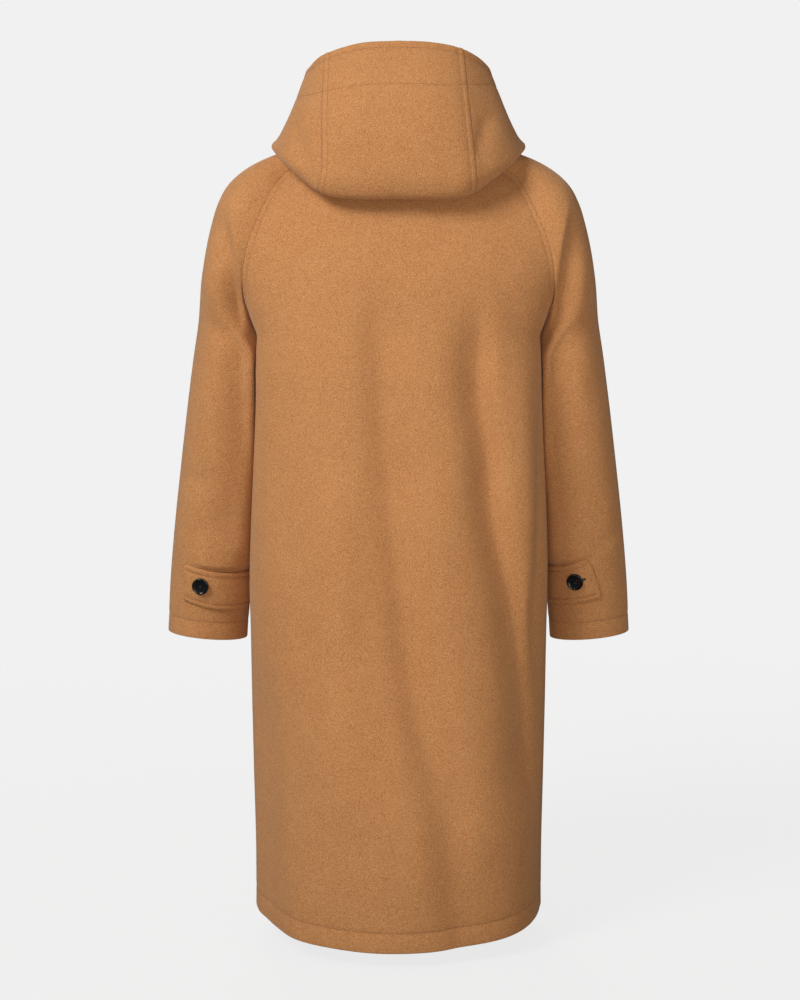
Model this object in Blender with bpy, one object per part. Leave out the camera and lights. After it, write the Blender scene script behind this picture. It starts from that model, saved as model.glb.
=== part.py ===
"""Long duffle coat in thick wool, kept hollow and filled out as if worn, with its hood lying back.

The coat stands in its own frame: +Z up, front towards -Y, the wearer's left towards +X. The origin is the
middle of the neck, level with the top of the shoulders. All tables and sizes are in millimetres.
"""

import math

import bmesh
import bpy
import numpy as np

MM = 0.001

# Cloth and seams
CLOTH = 2.5
SEAM_GAP = 0.3
LYING_GAP = 0.4
TAB_GAP = 1.1
CORD_END_GAP = 1.0
HOOD_SEAM_GAP = 0.7
SLEEVE_CLEARANCE = 3.0
SLEEVE_PART_RUN = 8.0
UNDERARM_SHIFT = 15.0
UNDERARM_SHIFT_RUN = 150.0

# Shape of the body's rings: 0 is an ellipse, more is squarer
RING_FULLNESS = 0.12
DENT_DEPTH_SPREAD = 66.0

# Levels: 0 at the neck, UNDERARM at the underarm, one more at the hem or the cuff
UNDERARM = 11
CLOSE_FROM = 8
SIDE_LEVELS = 3
FIRST_ROWS_BELOW = (0.1, 0.5)
UNDERARM_HEIGHT = -262.0
HEM_SIDE = -1041.0
HEM_BACK = -1062.0
HEM_FRONT = -1047.0
CUFF_HEIGHT = -673.0
BODY_ROWS_BELOW = 12
SLEEVE_ROWS_BELOW = 9
HALF_BACK_COLUMNS = 11
SLEEVE_COLUMNS = 18
HALF_FRONT_COLUMNS = 9
OVERLAP_COLUMNS = 2

# Front overlap, the left front over the right one
OVERLAP = 32.0
OVERLAP_STEP = 14.0
OVERLAP_INSET = 3.4

# Fastenings
FASTENING_HEIGHTS = (-170.0, -315.0, -460.0, -605.0)
TOGGLE_LENGTH = 52.0
TOGGLE_RADIUS = 6.5
TOGGLE_WAIST = 4.4
FASTENING_CORD = 2.0
PATCH_FROM = 56.0
PATCH_TO = 92.0
PATCH_HALF_HEIGHT = 17.0
PATCH_THICKNESS = 2.0
PATCH_GAP = 0.8

# Cuff tabs
TAB_THICKNESS = 3.0
TAB_END_SLANT = {"left": 0.0, "right": 7.0}
TAB_CORNER = 0.93
TAB_CORNER_POWER = 2.6
TAB_TIP_SHARE = 0.015
BUTTON_RADIUS = 11.5
BUTTON_RIM = 4.6
BUTTON_DISH = 2.7
BUTTON_INSET = {"left": 0.72, "right": 0.655}
BUTTON_RISE = 0.14
BUTTON_SIDES = 20
TOGGLE_SIDES = 10

SHARP_ANGLE = math.radians(38)

WOOL = (0.533, 0.251, 0.093, 1.0)
HORN = (0.010, 0.010, 0.011, 1.0)
CORD = (0.012, 0.011, 0.011, 1.0)
WOOL_FINISH = (WOOL, 0.95)
HORN_FINISH = (HORN, 0.2)
CORD_FINISH = (CORD, 0.7)


def table(columns, *rows):
    """A short table, as one array for each named column."""
    return dict(zip(columns.split(), np.array(rows, float).T))


# Upper body, a row for each level from the neck to the underarm: the centre back, the raglan seams on the
# back and on the front, the line along the top of the shoulder and sleeve, the centre front, and how far the
# sleeve turns from its top line to each seam.
YOKE = table(
    "cb_y cb_z back_x back_y back_z top_x top_y top_z front_x front_y front_z cf_y cf_z turn",
    (70, -16, 60, 62, -10, 78, 0, 0, 66, -62, -36, -100, -88, 75),
    (92, -40, 105, 56, -22, 118, -1, -9, 98, -82, -58, -108, -104, 82),
    (105, -66, 147, 54, -42, 160, -3, -21, 128, -93, -86, -116, -124, 90),
    (116, -92, 166, 66, -65, 198, -6, -38, 148, -98, -112, -122, -144, 97),
    (122, -116, 179, 79, -90, 225, -8, -60, 162, -99, -138, -128, -164, 103),
    (128, -140, 189, 86, -113, 240, -10, -86, 173, -96, -162, -132, -182, 109),
    (134, -164, 197, 88, -136, 249, -12, -114, 181, -91, -184, -135, -198, 115),
    (138, -186, 202.5, 86, -160, 256, -13, -146, 187, -83, -204, -137.5, -214, 121),
    (141, -208, 204.5, 79, -185, 261.5, -14, -180, 189.5, -71, -222, -139.5, -229, 129),
    (143, -228, 202.5, 64, -212, 266, -15, -212, 187.5, -54, -239, -141, -241, 140),
    (144.8, -246, 190.5, 38, -238, 270.5, -16, -240, 180, -32, -252, -141.7, -252, 156),
    (146, -262, 170, -2, -262, 275, -17, -262, 170, -2, -262, -142, -262, 180),
)

# Body by height: half its width, its depth at the back and front, the dent where a sleeve lies against it,
# how far back that dent and the side seam are.
BODY = table(
    "height half_width back_y front_y dent dent_y seam_y",
    (-1065, 198, 166, -156, 0, -50, 34),
    (-950, 198, 164, -154, 0, -50, 34),
    (-850, 200, 160, -152, 0, -50, 33),
    (-760, 201.5, 158, -151, 0, -50, 31),
    (-660, 203.5, 155, -150, 2, -50, 28),
    (-600, 207, 154, -149, 8, -46, 24),
    (-520, 209, 152, -147, 20, -38, 18),
    (-450, 210, 150, -145, 30, -30, 11),
    (-381, 211, 149, -144, 38, -22, 6),
    (-334, 214, 148, -143, 44, -14, 2),
    (-300, 218, 148, -142, 49, -8, 0),
    (-262, 222, 146, -142, 52, -2, -2),
    (-240, 226, 145, -141, 44, 0, -2),
    (-212, 230, 143, -140, 30, 0, -2),
    (-186, 235, 141, -139, 14, 0, -2),
    (-160, 239, 138, -137, 0, 0, -2),
)

# Sleeve below the underarm: its outer edge, half its width and depth, its middle and how much its rings slope
SLEEVE = table(
    "height outer_x half_width half_depth middle_y slope",
    (-673, 321.5, 55, 52, -52, 5),
    (-600, 317, 56, 60, -46, 4),
    (-520, 309, 57, 68, -38, 3),
    (-450, 300.5, 57.5, 74, -31, 2),
    (-381, 291.5, 57.5, 79, -24, 1),
    (-300, 280.5, 55, 83, -18, 0.5),
    (-262, 275, 52.5, 85, -16, 0),
)

# The fold where the arm hangs away from the back: how far out it runs and how deep it is, by height
ARMHOLE_FOLD = table(
    "height out depth",
    (-262, 203, 10),
    (-235, 206, 13),
    (-205, 209, 14),
    (-164, 213, 12),
    (-134, 217, 9),
    (-110, 222, 5),
    (-90, 225, 2),
    (-70, 228, 0),
    (-40, 232, 0),
    (10, 236, 0),
)
ARMHOLE_FOLD_EDGE = 24.0
ARMHOLE_FOLD_REACH = 60.0
FOLD_BEHIND = -5.0
FOLD_BEHIND_RUN = 30.0
SEAM_HOLD = 0.125

# Soft upright folds of the body: the face they are on, their depth (minus is a ridge), their spread, and
# their route as heights and places across.
FOLDS = (
    ("back", 12.0, 24.0, ((-200, -99), (-356, -99), (-441, -117), (-568, -133), (-696, -159), (-866, -168))),
    ("back", 6.0, 38.0, ((-170, 53), (-356, 28), (-526, 19), (-696, 10), (-866, -6), (-1057, -34))),
    ("back", -5.0, 34.0, ((-420, 106), (-600, 104), (-840, 104))),
    ("back", -6.0, 36.0, ((-420, -20), (-696, -57), (-830, -66))),
    ("back", 5.0, 22.0, ((-780, 172), (-1057, 172))),
    ("front", 9.0, 30.0, ((-250, 108), (-480, 118), (-760, 140), (-1000, 150))),
    ("front", 8.0, 28.0, ((-330, -116), (-560, -120), (-860, -150))),
    ("front", -5.0, 36.0, ((-520, 66), (-1050, 82))),
)
FOLD_FADE = 110.0
FOLD_SEAM_FADE = 6.0

# Hood, by stations round the neck from the centre back (0) to the centre front (22): the hump over the neck,
# the hidden layer, the lower fold, the outer wall low and high, and the rim.
HOOD_SEAM_STATION = 6
HOOD_SIDE_STATION = 16
HOOD_END_STATION = 22
HALF_HOOD_COLUMNS = 22
HOOD_COLUMNS = (
    "station hump_x hump_y hump_z under_x under_y under_z fold_x fold_y fold_z "
    "low_x low_y low_z high_x high_y high_z rim_x rim_y rim_z bend"
)
HOOD_LEFT = table(
    HOOD_COLUMNS,
    (0, 0, 84, 27, 0, 108, -22, 0, 134, -76, 0, 149, -33, 0, 138, 45, 0, 103, 126, 13),
    (3, 38, 80, 29, 48, 104, -19, 58, 132, -76, 62, 146, -34, 58, 136, 44, 50, 101, 123, 13),
    (6, 68, 62, 34, 86, 88, -10, 102.5, 120, -67, 99, 134, -34, 99, 120, 42, 97, 84, 110, 13),
    (8.5, 84, 36, 36, 112, 52, 12, 143, 82, -34, 149, 88, -11, 134, 76, 42, 115, 58, 98, 12),
    (11, 93, 2, 33, 126, 7, 17, 167, 10, -9, 157, 12, 11, 137, 20, 48, 123, 32, 86, 9),
    (13.5, 90, -42, 18, 112, -53, 0, 141, -62, -32, 138, -63, -14, 127, -46, 22, 116, -24, 58, 8),
    (16.5, 70, -82, -22, 84, -92, -38, 98, -105, -66, 102, -110, -50, 97, -96, -20, 89, -73, 10, 9),
    (19.5, 36, -104, -60, 41, -110, -68, 46, -121, -91, 49, -128, -76, 49, -123, -55, 44, -104, -30, 9),
    (22, 5, -107, -76, 5, -112, -80, 6, -121, -94, 7, -129, -83, 7, -126, -71, 6, -114, -58, 8),
)
HOOD_RIGHT = {name: values.copy() for name, values in HOOD_LEFT.items()}
HOOD_RIGHT["rim_x"][1:4] = (44, 85, 112)
HOOD_RIGHT["rim_y"][1:4] = (102, 90, 63)
HOOD_RIGHT["rim_z"][1:4] = (124, 116, 102)
HOOD_RIGHT["high_x"][1:3] = (50, 92)
HOOD_RIGHT["low_x"][1:3] = (58, 100)
HOOD_RIGHT["fold_x"][1:3] = (56, 99)
HOOD = {"left": HOOD_LEFT, "right": HOOD_RIGHT}
BEND_ALONG = 0.9
BEND_APART = 0.55
HOOD_STEPS = (0, 0.5, 1, 1.5, 2, 3, 4, 5, 6, 6.5, 7, 7.5, 8)

# Cuff tabs along their length, from the root (0) to the free end (1): the height of the middle, half the
# width, and how far round the sleeve.
TABS = {
    "left": table(
        "part height half_width turn",
        (0, -603, 25, 158),
        (0.5, -603.5, 25.5, 105),
        (1, -594.5, 24.5, 52),
    ),
    "right": table(
        "part height half_width turn",
        (0, -596, 25.5, 158),
        (0.5, -594.5, 26, 119.5),
        (1, -586.5, 27.5, 81),
    ),
}

SIDES = {"left": 1.0, "right": -1.0}
OUT = np.array([1.0, 0.0, 0.0])


def through(places, values, where):
    """Smooth curve through the values, each at its place; where may be one place or many."""
    order = np.argsort(places)
    places = np.asarray(places, float)[order]
    values = np.asarray(values, float)[order]
    slopes = np.gradient(values, places, axis=0)
    spot = np.clip(np.searchsorted(places, where, side="right") - 1, 0, len(places) - 2)
    step = places[spot + 1] - places[spot]
    part = (where - places[spot]) / step
    if values.ndim > 1:
        step = step[..., None] if np.ndim(step) else step
        part = part[..., None] if np.ndim(part) else part
    start = (1 + 2 * part) * (1 - part) ** 2 * values[spot] + part * (1 - part) ** 2 * step * slopes[spot]
    end = part**2 * (3 - 2 * part) * values[spot + 1] + part**2 * (part - 1) * step * slopes[spot + 1]
    return start + end


def ease(part):
    """Rises softly from 0 to 1."""
    part = np.clip(part, 0.0, 1.0)
    return part * part * (3 - 2 * part)


def column(source, name, where, key="height"):
    return through(source[key], source[name], where)


def point(source, name, where, key):
    """A point of a table, from its three columns."""
    return np.stack([column(source, f"{name}_{axis}", where, key) for axis in "xyz"], axis=-1)


def yoke(name, level):
    return through(np.arange(UNDERARM + 1), YOKE[name], level)


def yoke_point(name, level):
    """A point of the yoke; close to the underarm the seams lie on the body's side."""
    place = np.stack([yoke(f"{name}_{axis}", level) for axis in "xyz"], axis=-1)
    if name != "top" and level > UNDERARM - 1:
        place[0] += (body_side(place[1], place[2]) - place[0]) * ease((level - UNDERARM + 1) * 2)
    return place


def ring_width(angle):
    """Share of the half-width that a ring reaches at an angle from the centre back."""
    return np.sin(angle) * (1 + RING_FULLNESS * np.cos(angle) ** 2)


def ring_depth(angle):
    return np.cos(angle) * (1 + RING_FULLNESS * np.sin(angle) ** 2)


RING_ANGLES = np.linspace(math.pi, 0.0, 361)
RING_DEPTHS = ring_depth(RING_ANGLES)


def angle_at(depth, back_y, front_y):
    """Angle from the centre back at which a ring passes a depth."""
    share = np.where(depth > 0, depth / back_y, depth / -front_y)
    return np.interp(share, RING_DEPTHS, RING_ANGLES)


def dent_at(depth, height):
    """How far the body gives way to the sleeve beside it."""
    away = (depth - column(BODY, "dent_y", height)) / DENT_DEPTH_SPREAD
    return np.maximum(column(BODY, "dent", height), 0.0) * np.exp(-(away**2))


def body_side(depth, height):
    """How far out the body reaches at a depth and height."""
    back_y = column(BODY, "back_y", height)
    front_y = column(BODY, "front_y", height)
    reach = column(BODY, "half_width", height) * ring_width(angle_at(depth, back_y, front_y))
    return reach - dent_at(depth, height)


def body_row(level, face):
    """One level of the back or front: the seam's point, the centre's height, and the ring it lies on."""
    if level <= UNDERARM:
        centre = "cb" if face == "back" else "cf"
        seam = yoke_point(face, level)
        middle_y = float(yoke(f"{centre}_y", level))
        middle_z = float(yoke(f"{centre}_z", level))
        back_y, front_y = (middle_y, -middle_y) if face == "back" else (-middle_y, middle_y)
        dent_height = min(float(seam[2]), -160.0)
    else:
        down = level - UNDERARM
        height = UNDERARM_HEIGHT + down * (HEM_SIDE - UNDERARM_HEIGHT)
        back_y = float(column(BODY, "back_y", height))
        front_y = float(column(BODY, "front_y", height))
        seam_y = float(column(BODY, "seam_y", height))
        seam = np.array([float(body_side(seam_y, height)), seam_y, height])
        hem = HEM_BACK if face == "back" else HEM_FRONT
        middle_z = UNDERARM_HEIGHT + down * (hem - UNDERARM_HEIGHT)
        dent_height = height
    seam_angle = float(angle_at(seam[1], back_y, front_y))
    reach = (seam[0] + float(dent_at(seam[1], dent_height))) / float(ring_width(seam_angle))
    return seam, seam_angle, middle_z, back_y, front_y, reach, dent_height


def body_face(face, level, across):
    """Outer face of the back or front at one level; across is -1 at the right seam, 1 at the left one."""
    seam, seam_angle, middle_z, back_y, front_y, reach, dent_height = body_row(level, face)
    part = np.abs(across)
    middle_angle = 0.0 if face == "back" else math.pi
    angle = middle_angle + (seam_angle - middle_angle) * part
    share = ring_depth(angle)
    depth = np.where(share > 0, share * back_y, share * -front_y)
    out = reach * ring_width(angle) - dent_at(depth, dent_height)
    out = np.where(part == 0, 0.0, out)
    height = middle_z + (seam[2] - middle_z) * part**2
    return np.stack([np.sign(across) * out, depth, height], axis=-1)


def fold_depth(face, points):
    """How deep the upright folds are at points of the back or front."""
    depth = np.zeros(points.shape[:-1])
    for side, size, spread, route in FOLDS:
        if side != face:
            continue
        heights = [step[0] for step in route]
        centre = through(heights, [step[1] for step in route], points[..., 2])
        low, high = min(heights), max(heights)
        low_fade = 1.0 if low < HEM_SIDE - 1 else ease((points[..., 2] - low) / FOLD_FADE + 0.5)
        fade = ease((high - points[..., 2]) / FOLD_FADE + 0.2) * low_fade
        depth += size * fade * np.exp(-(((points[..., 0] - centre) / spread) ** 2))
    return depth


def sleeve_arc(level, turn):
    """Outer face of the left sleeve at a level: turn is 1 at the back seam, 0 on the top line, -1 in front."""
    if level <= UNDERARM:
        back = yoke_point("back", level)
        front = yoke_point("front", level)
        top = yoke_point("top", level)
        limit = math.radians(float(yoke("turn", level)))
        half = (back - front) / 2
        middle = (back + front) / 2
        centre = (middle - top * math.cos(limit)) / (1 - math.cos(limit))
        near = ease((level - UNDERARM) / SIDE_LEVELS + 1)
        level_depth = float(column(SLEEVE, "half_depth", UNDERARM_HEIGHT)) * np.array([0.0, 1.0, 0.0])
        span = half / max(math.sin(limit), 0.2)
        depth = span + near * (level_depth - span)
        angle = turn * limit
        points = centre + np.outer(np.cos(angle), top - centre) + np.outer(np.sin(angle), depth)
        missing = half - math.sin(limit) * depth
        points += np.outer(np.sign(turn) * np.abs(turn) ** 4, missing)
    else:
        height = UNDERARM_HEIGHT + (level - UNDERARM) * (CUFF_HEIGHT - UNDERARM_HEIGHT)
        angle = turn * math.pi
        half_width = float(column(SLEEVE, "half_width", height))
        middle_x = float(column(SLEEVE, "outer_x", height)) - half_width
        out = middle_x + half_width * np.cos(angle)
        back = column(SLEEVE, "middle_y", height) + column(SLEEVE, "half_depth", height) * np.sin(angle)
        shift = UNDERARM_SHIFT * ease(1 + (height - UNDERARM_HEIGHT) / UNDERARM_SHIFT_RUN)
        back += shift * (1 - np.cos(angle)) / 2
        up = height + column(SLEEVE, "slope", height) * np.cos(angle)
        points = np.stack([out, back, up], axis=-1)
    return settle_sleeve(points, level, turn)


def settle_sleeve(points, level, turn):
    """Presses the armhole fold into the sleeve, and keeps the sleeve clear of the body beside it."""
    height = points[:, 2]
    outward = points[:, 0] - column(ARMHOLE_FOLD, "out", np.maximum(height, UNDERARM_HEIGHT))
    depth = np.maximum(column(ARMHOLE_FOLD, "depth", np.maximum(height, UNDERARM_HEIGHT)), 0.0)
    depth = depth * ease((height - CUFF_HEIGHT) / (UNDERARM_HEIGHT - CUFF_HEIGHT) * 2 - 1)
    press = ease(outward / ARMHOLE_FOLD_EDGE + 0.5) * (1 - ease(outward / ARMHOLE_FOLD_REACH - 0.2))
    at_back = ease((points[:, 1] - FOLD_BEHIND) / FOLD_BEHIND_RUN)
    held = ease((1 - np.abs(turn)) / SEAM_HOLD) if level <= UNDERARM else 1.0
    points[:, 1] -= depth * press * at_back * held
    if level < UNDERARM - SIDE_LEVELS:
        return points
    if level <= UNDERARM:
        beside = panel_side(level, points[:, 1])
    else:
        beside = body_side(points[:, 1], height)
        held = ease((UNDERARM_HEIGHT - height) / SLEEVE_PART_RUN + 0.3)
    short = beside + SLEEVE_CLEARANCE * held - points[:, 0]
    inner_half = np.abs(turn) > 0.5
    points[:, 0] += np.where(inner_half & (short > 0), short, 0.0)
    return points


def panel_side(level, depth):
    """How far out the back and front reach at one level, at depths behind and before the sleeve's seams."""
    reaches = []
    for face in ("back", "front"):
        seam, _, _, back_y, front_y, reach, dent_height = body_row(level, face)
        side = reach * ring_width(angle_at(depth, back_y, front_y)) - dent_at(depth, dent_height)
        beyond = depth > seam[1] if face == "back" else depth < seam[1]
        reaches.append(np.where(beyond, side, 0.0))
    return np.maximum(*reaches)


def grid_normals(grid):
    """Unit normals of a grid of points, by the differences along its rows and columns."""
    along = np.gradient(grid, axis=0)
    across = np.gradient(grid, axis=1)
    normal = np.cross(along, across)
    return normal / np.maximum(np.linalg.norm(normal, axis=-1, keepdims=True), 1e-9)


def unit(vectors):
    return vectors / np.maximum(np.linalg.norm(vectors, axis=-1, keepdims=True), 1e-9)


def material(name, colour, roughness):
    """The plain material of a piece."""
    made = bpy.data.materials.new(name)
    made.use_nodes = True
    shader = made.node_tree.nodes["Principled BSDF"]
    shader.inputs["Base Color"].default_value = colour
    shader.inputs["Roughness"].default_value = roughness
    shader.inputs["Metallic"].default_value = 0.0
    return made


def add_object(name, mesh, finish):
    colour, roughness = finish
    mesh.materials.append(material(name, colour, roughness))
    made = bpy.data.objects.new(name, mesh)
    bpy.context.collection.objects.link(made)
    return made


def enclosed_volume(points, faces):
    total = 0.0
    for face in faces:
        for second, third in zip(face[1:-1], face[2:]):
            total += np.dot(points[face[0]], np.cross(points[second], points[third]))
    return total


def halved(points, a, b, c, d):
    """The triangles of a four-sided face, along its shorter diagonal."""
    if np.linalg.norm(points[a] - points[c]) < np.linalg.norm(points[b] - points[d]):
        halves = ((a, b, c), (a, c, d))
    else:
        halves = ((a, b, d), (b, c, d))
    return [tuple(int(k) for k in face) for face in halves if len(set(face)) == 3]


def wall(name, outer, inner, joined_from=None):
    """A closed wool sheet between two grids of points. From row joined_from on, its last column is its first."""
    rows, columns = outer.shape[:2]
    index = np.arange(rows * columns).reshape(rows, columns)
    if joined_from is not None:
        index[joined_from:, -1] = index[joined_from:, 0]
    used, index = np.unique(index, return_inverse=True)
    index = index.reshape(rows, columns)
    count = len(used)
    points = np.concatenate([outer.reshape(-1, 3)[used], inner.reshape(-1, 3)[used]])
    sheet = []
    for i in range(rows - 1):
        for j in range(columns - 1):
            sheet += halved(points, index[i, j], index[i, j + 1], index[i + 1, j + 1], index[i + 1, j])
    edges = {(face[k], face[(k + 1) % 3]) for face in sheet for k in range(3)}
    faces = sheet + [tuple(k + count for k in reversed(face)) for face in sheet]
    for a, b in sorted(edges):
        if (b, a) not in edges:
            faces += halved(points, b, a, a + count, b + count)
    if enclosed_volume(points, faces) < 0:
        faces = [tuple(reversed(face)) for face in faces]
    mesh = bpy.data.meshes.new(name)
    mesh.from_pydata((points * MM).tolist(), [], faces)
    mesh.shade_smooth()
    mesh.set_sharp_from_angle(angle=SHARP_ANGLE)
    return add_object(name, mesh, WOOL_FINISH)


def meet(first, first_next, first_normals, second, second_next, second_normals):
    """A seam between two sheets: each one's edge, drawn back from the other, and its normals there.

    The sheets share their normals where they join flat, and keep their own where they fold back on each
    other.
    """
    run = unit(np.gradient(first, axis=0))
    away_first = unit(first_next - first)
    away_second = unit(second_next - second)
    middle = without(first_normals + second_normals + away_first + away_second, run)
    drawn = unit(without(without(away_first - away_second, run), middle)) * SEAM_GAP / 2
    common = unit(first_normals + second_normals)
    level = np.sum(first_normals * second_normals, axis=-1, keepdims=True)
    shared = ease((level + 0.2) / 0.8)
    own_first = unit(first_normals + shared * (common - first_normals))
    own_second = unit(second_normals + shared * (common - second_normals))
    return first + drawn, own_first, second - drawn, own_second


def without(vectors, direction):
    """The vectors less their part along a direction."""
    direction = unit(direction)
    return vectors - direction * np.sum(vectors * direction, axis=-1, keepdims=True)


def back_grid(levels):
    """Outer points of the back with their normals, from the right seam to the left one."""
    across = np.linspace(-1, 1, 2 * HALF_BACK_COLUMNS + 1)
    grid = np.array([body_face("back", level, across) for level in levels])
    normals = grid_normals(grid)
    if np.sum(normals[..., 1]) < 0:
        normals = -normals
    return grid, normals, across


def levels_with(rows_below):
    """Levels from the neck to the hem or cuff, closer together by the underarm."""
    upper = list(np.arange(0, CLOSE_FROM)) + list(np.arange(CLOSE_FROM, UNDERARM + 0.1, 0.5))
    return upper + [UNDERARM + k / rows_below for k in (*FIRST_ROWS_BELOW, *range(1, rows_below + 1))]


def mirrored(grid):
    """The same points on the wearer's right."""
    return grid * np.array([-1.0, 1.0, 1.0])


def across_at(level, out):
    """How far across the front lies a distance out from the centre front."""
    across = np.linspace(0, 1, 60)
    return float(np.interp(out, body_face("front", level, across)[:, 0], across))


def front_grid(levels):
    """Outer points of the left front, from its edge past the centre front to the side seam, and their normals."""
    rows = []
    places = []
    for level in levels:
        edge = across_at(level, OVERLAP)
        step = across_at(level, OVERLAP + OVERLAP_STEP)
        lapped = edge * np.linspace(-1, 1, 2 * OVERLAP_COLUMNS + 1)
        across = np.concatenate([lapped, np.linspace(step, 1, HALF_FRONT_COLUMNS)])
        rows.append(body_face("front", level, across))
        places.append(across)
    grid = np.array(rows)
    normals = grid_normals(grid)
    if np.sum(normals[..., 1]) > 0:
        normals = -normals
    return grid, normals, np.array(places)


def folded(face, points, normals, across):
    """The points with the upright folds of their face pressed in, fading out at the seams."""
    hold = ease((1 - np.abs(across)) * FOLD_SEAM_FADE)
    return points - normals * (fold_depth(face, points) * hold)[..., None]


def make_panels():
    """Back, fronts and raglan sleeves, with a common seam line and normal where two meet. Gives the fronts' grids."""
    levels = levels_with(BODY_ROWS_BELOW)
    down = levels_with(SLEEVE_ROWS_BELOW)
    back, back_normals, back_across = back_grid(levels)
    front, front_normals, front_across = front_grid(levels)
    turn = np.linspace(1, -1, SLEEVE_COLUMNS + 1)
    sleeve = np.array([sleeve_arc(level, turn) for level in down])
    sleeve_normals = sleeve_row_normals(sleeve, down.index(UNDERARM))

    under_row = levels.index(UNDERARM)
    top = under_row + 1
    underarm = yoke_point("back", UNDERARM)
    back_edge, back_edge_normals, sleeve_back, sleeve_back_normals = meet(
        back[:top, -1], back[:top, -2], back_normals[:top, -1],
        sleeve[:top, 0], sleeve[:top, 1], sleeve_normals[:top, 0],
    )
    front_edge, front_edge_normals, sleeve_front, sleeve_front_normals = meet(
        front[:top, -1], front[:top, -2], front_normals[:top, -1],
        sleeve[:top, -1], sleeve[:top, -2], sleeve_normals[:top, -1],
    )
    back_side, back_side_normals, front_side, front_side_normals = meet(
        back[under_row:, -1], back[under_row:, -2], back_normals[under_row:, -1],
        front[under_row:, -1], front[under_row:, -2], front_normals[under_row:, -1],
    )
    back[:, -1] = np.concatenate([back_edge[:-1], back_side])
    back[:, 0] = mirrored(back[:, -1])
    back_normals[:, -1] = np.concatenate([back_edge_normals[:-1], back_side_normals])
    back_normals[:, 0] = mirrored(back_normals[:, -1])
    front[:, -1] = np.concatenate([front_edge[:-1], front_side])
    front_normals[:, -1] = np.concatenate([front_edge_normals[:-1], front_side_normals])
    sleeve[:top, 0] = sleeve_back
    sleeve[:top, -1] = sleeve_front
    sleeve[under_row, 0] = sleeve[under_row, -1] = underarm + OUT * SEAM_GAP
    sleeve_normals[:under_row, 0] = sleeve_back_normals[:-1]
    sleeve_normals[:under_row, -1] = sleeve_front_normals[:-1]

    back = folded("back", back, back_normals, back_across)
    wall("back", back, back - CLOTH * back_normals)
    left = folded("front", front, front_normals, front_across)
    wall("front_left", left, left - CLOTH * front_normals)
    right_normals = mirrored(front_normals)
    right = folded("front", mirrored(front), right_normals, front_across)
    beyond = ease((right[..., 0] + OVERLAP + OVERLAP_STEP) / OVERLAP_STEP)
    right = right - right_normals * (beyond * OVERLAP_INSET)[..., None]
    wall("front_right", right, right - CLOTH * right_normals)
    inner = sleeve - CLOTH * sleeve_normals
    wall("sleeve_left", sleeve, inner, joined_from=under_row)
    wall("sleeve_right", mirrored(sleeve), mirrored(inner), joined_from=under_row)
    return left, right


def sleeve_row_normals(sleeve, under_row):
    """Outward normals of the sleeve, smooth across the line where its rings close."""
    normals = grid_normals(sleeve)
    around = np.concatenate([sleeve[:, -2:-1], sleeve, sleeve[:, 1:2]], axis=1)
    closed = grid_normals(around)[:, 1:-1]
    normals[under_row:] = closed[under_row:]
    middle = SLEEVE_COLUMNS // 2
    if np.sum(normals[:, middle, 0]) < 0:
        normals = -normals
    return normals


def neck_line(station):
    """The neck edge on the left, by the hood's stations."""
    if station <= HOOD_SEAM_STATION:
        return body_face("back", 0, np.array([station / HOOD_SEAM_STATION]))[0]
    if station <= HOOD_SIDE_STATION:
        part = (station - HOOD_SEAM_STATION) / (HOOD_SIDE_STATION - HOOD_SEAM_STATION)
        return sleeve_arc(0, np.array([1 - 2 * part]))[0]
    part = (station - HOOD_SIDE_STATION) / (HOOD_END_STATION - HOOD_SIDE_STATION)
    return body_face("front", 0, np.array([max(1 - part, 0.05)]))[0]


def hood_section(side, station, steps):
    """One section of the hood, from the neck seam over the hump, round the lower fold and up to the rim."""
    names = ("hump", "under", "fold", "low", "high", "rim")
    places = {name: point(HOOD[side], name, station, "station") for name in names}
    neck = neck_line(station)
    out = places["low"] - places["under"]
    out[2] = 0.0
    out = unit(out)
    bend = float(column(HOOD[side], "bend", station, "station"))
    start = neck + unit(places["hump"] - neck) * HOOD_SEAM_GAP
    before = places["fold"] + bend * (BEND_ALONG * unit(places["under"] - places["fold"]) - BEND_APART * out)
    after = places["fold"] + bend * (BEND_ALONG * unit(places["low"] - places["fold"]) + BEND_APART * out)
    route = [start, places["hump"], places["under"], before, places["fold"], after]
    route += [places["low"], places["high"], places["rim"]]
    return through(np.arange(len(route)), np.array(route), np.array(steps, float))


def make_hood():
    """Centre panel and two side panels, parted at two seams that run from the neck to the rim."""
    stations = np.linspace(0, HOOD_END_STATION, HALF_HOOD_COLUMNS + 1)
    halves = {side: np.array([hood_section(side, k, HOOD_STEPS) for k in stations]) for side in SIDES}
    whole = np.swapaxes(np.concatenate([mirrored(halves["right"])[:0:-1], halves["left"]]), 0, 1)
    normals = grid_normals(whole)
    if normals[-3, HALF_HOOD_COLUMNS, 1] < 0:
        normals = -normals
    seam_columns = HALF_HOOD_COLUMNS * HOOD_SEAM_STATION // HOOD_END_STATION
    right_seam = HALF_HOOD_COLUMNS - seam_columns
    left_seam = HALF_HOOD_COLUMNS + seam_columns
    edges = {}
    for k in (right_seam, left_seam):
        edges[k] = meet(
            whole[:, k], whole[:, k - 1], normals[:, k], whole[:, k], whole[:, k + 1], normals[:, k]
        )
    pieces = {
        "hood_side_right": (0, right_seam),
        "hood_centre": (right_seam, left_seam),
        "hood_side_left": (left_seam, whole.shape[1] - 1),
    }
    for name, (start, stop) in pieces.items():
        grid = whole[:, start : stop + 1].copy()
        facing = normals[:, start : stop + 1]
        if start in edges:
            grid[:, 0] = edges[start][2]
        if stop in edges:
            grid[:, -1] = edges[stop][0]
        wall(name, grid, grid - CLOTH * facing)


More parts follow.
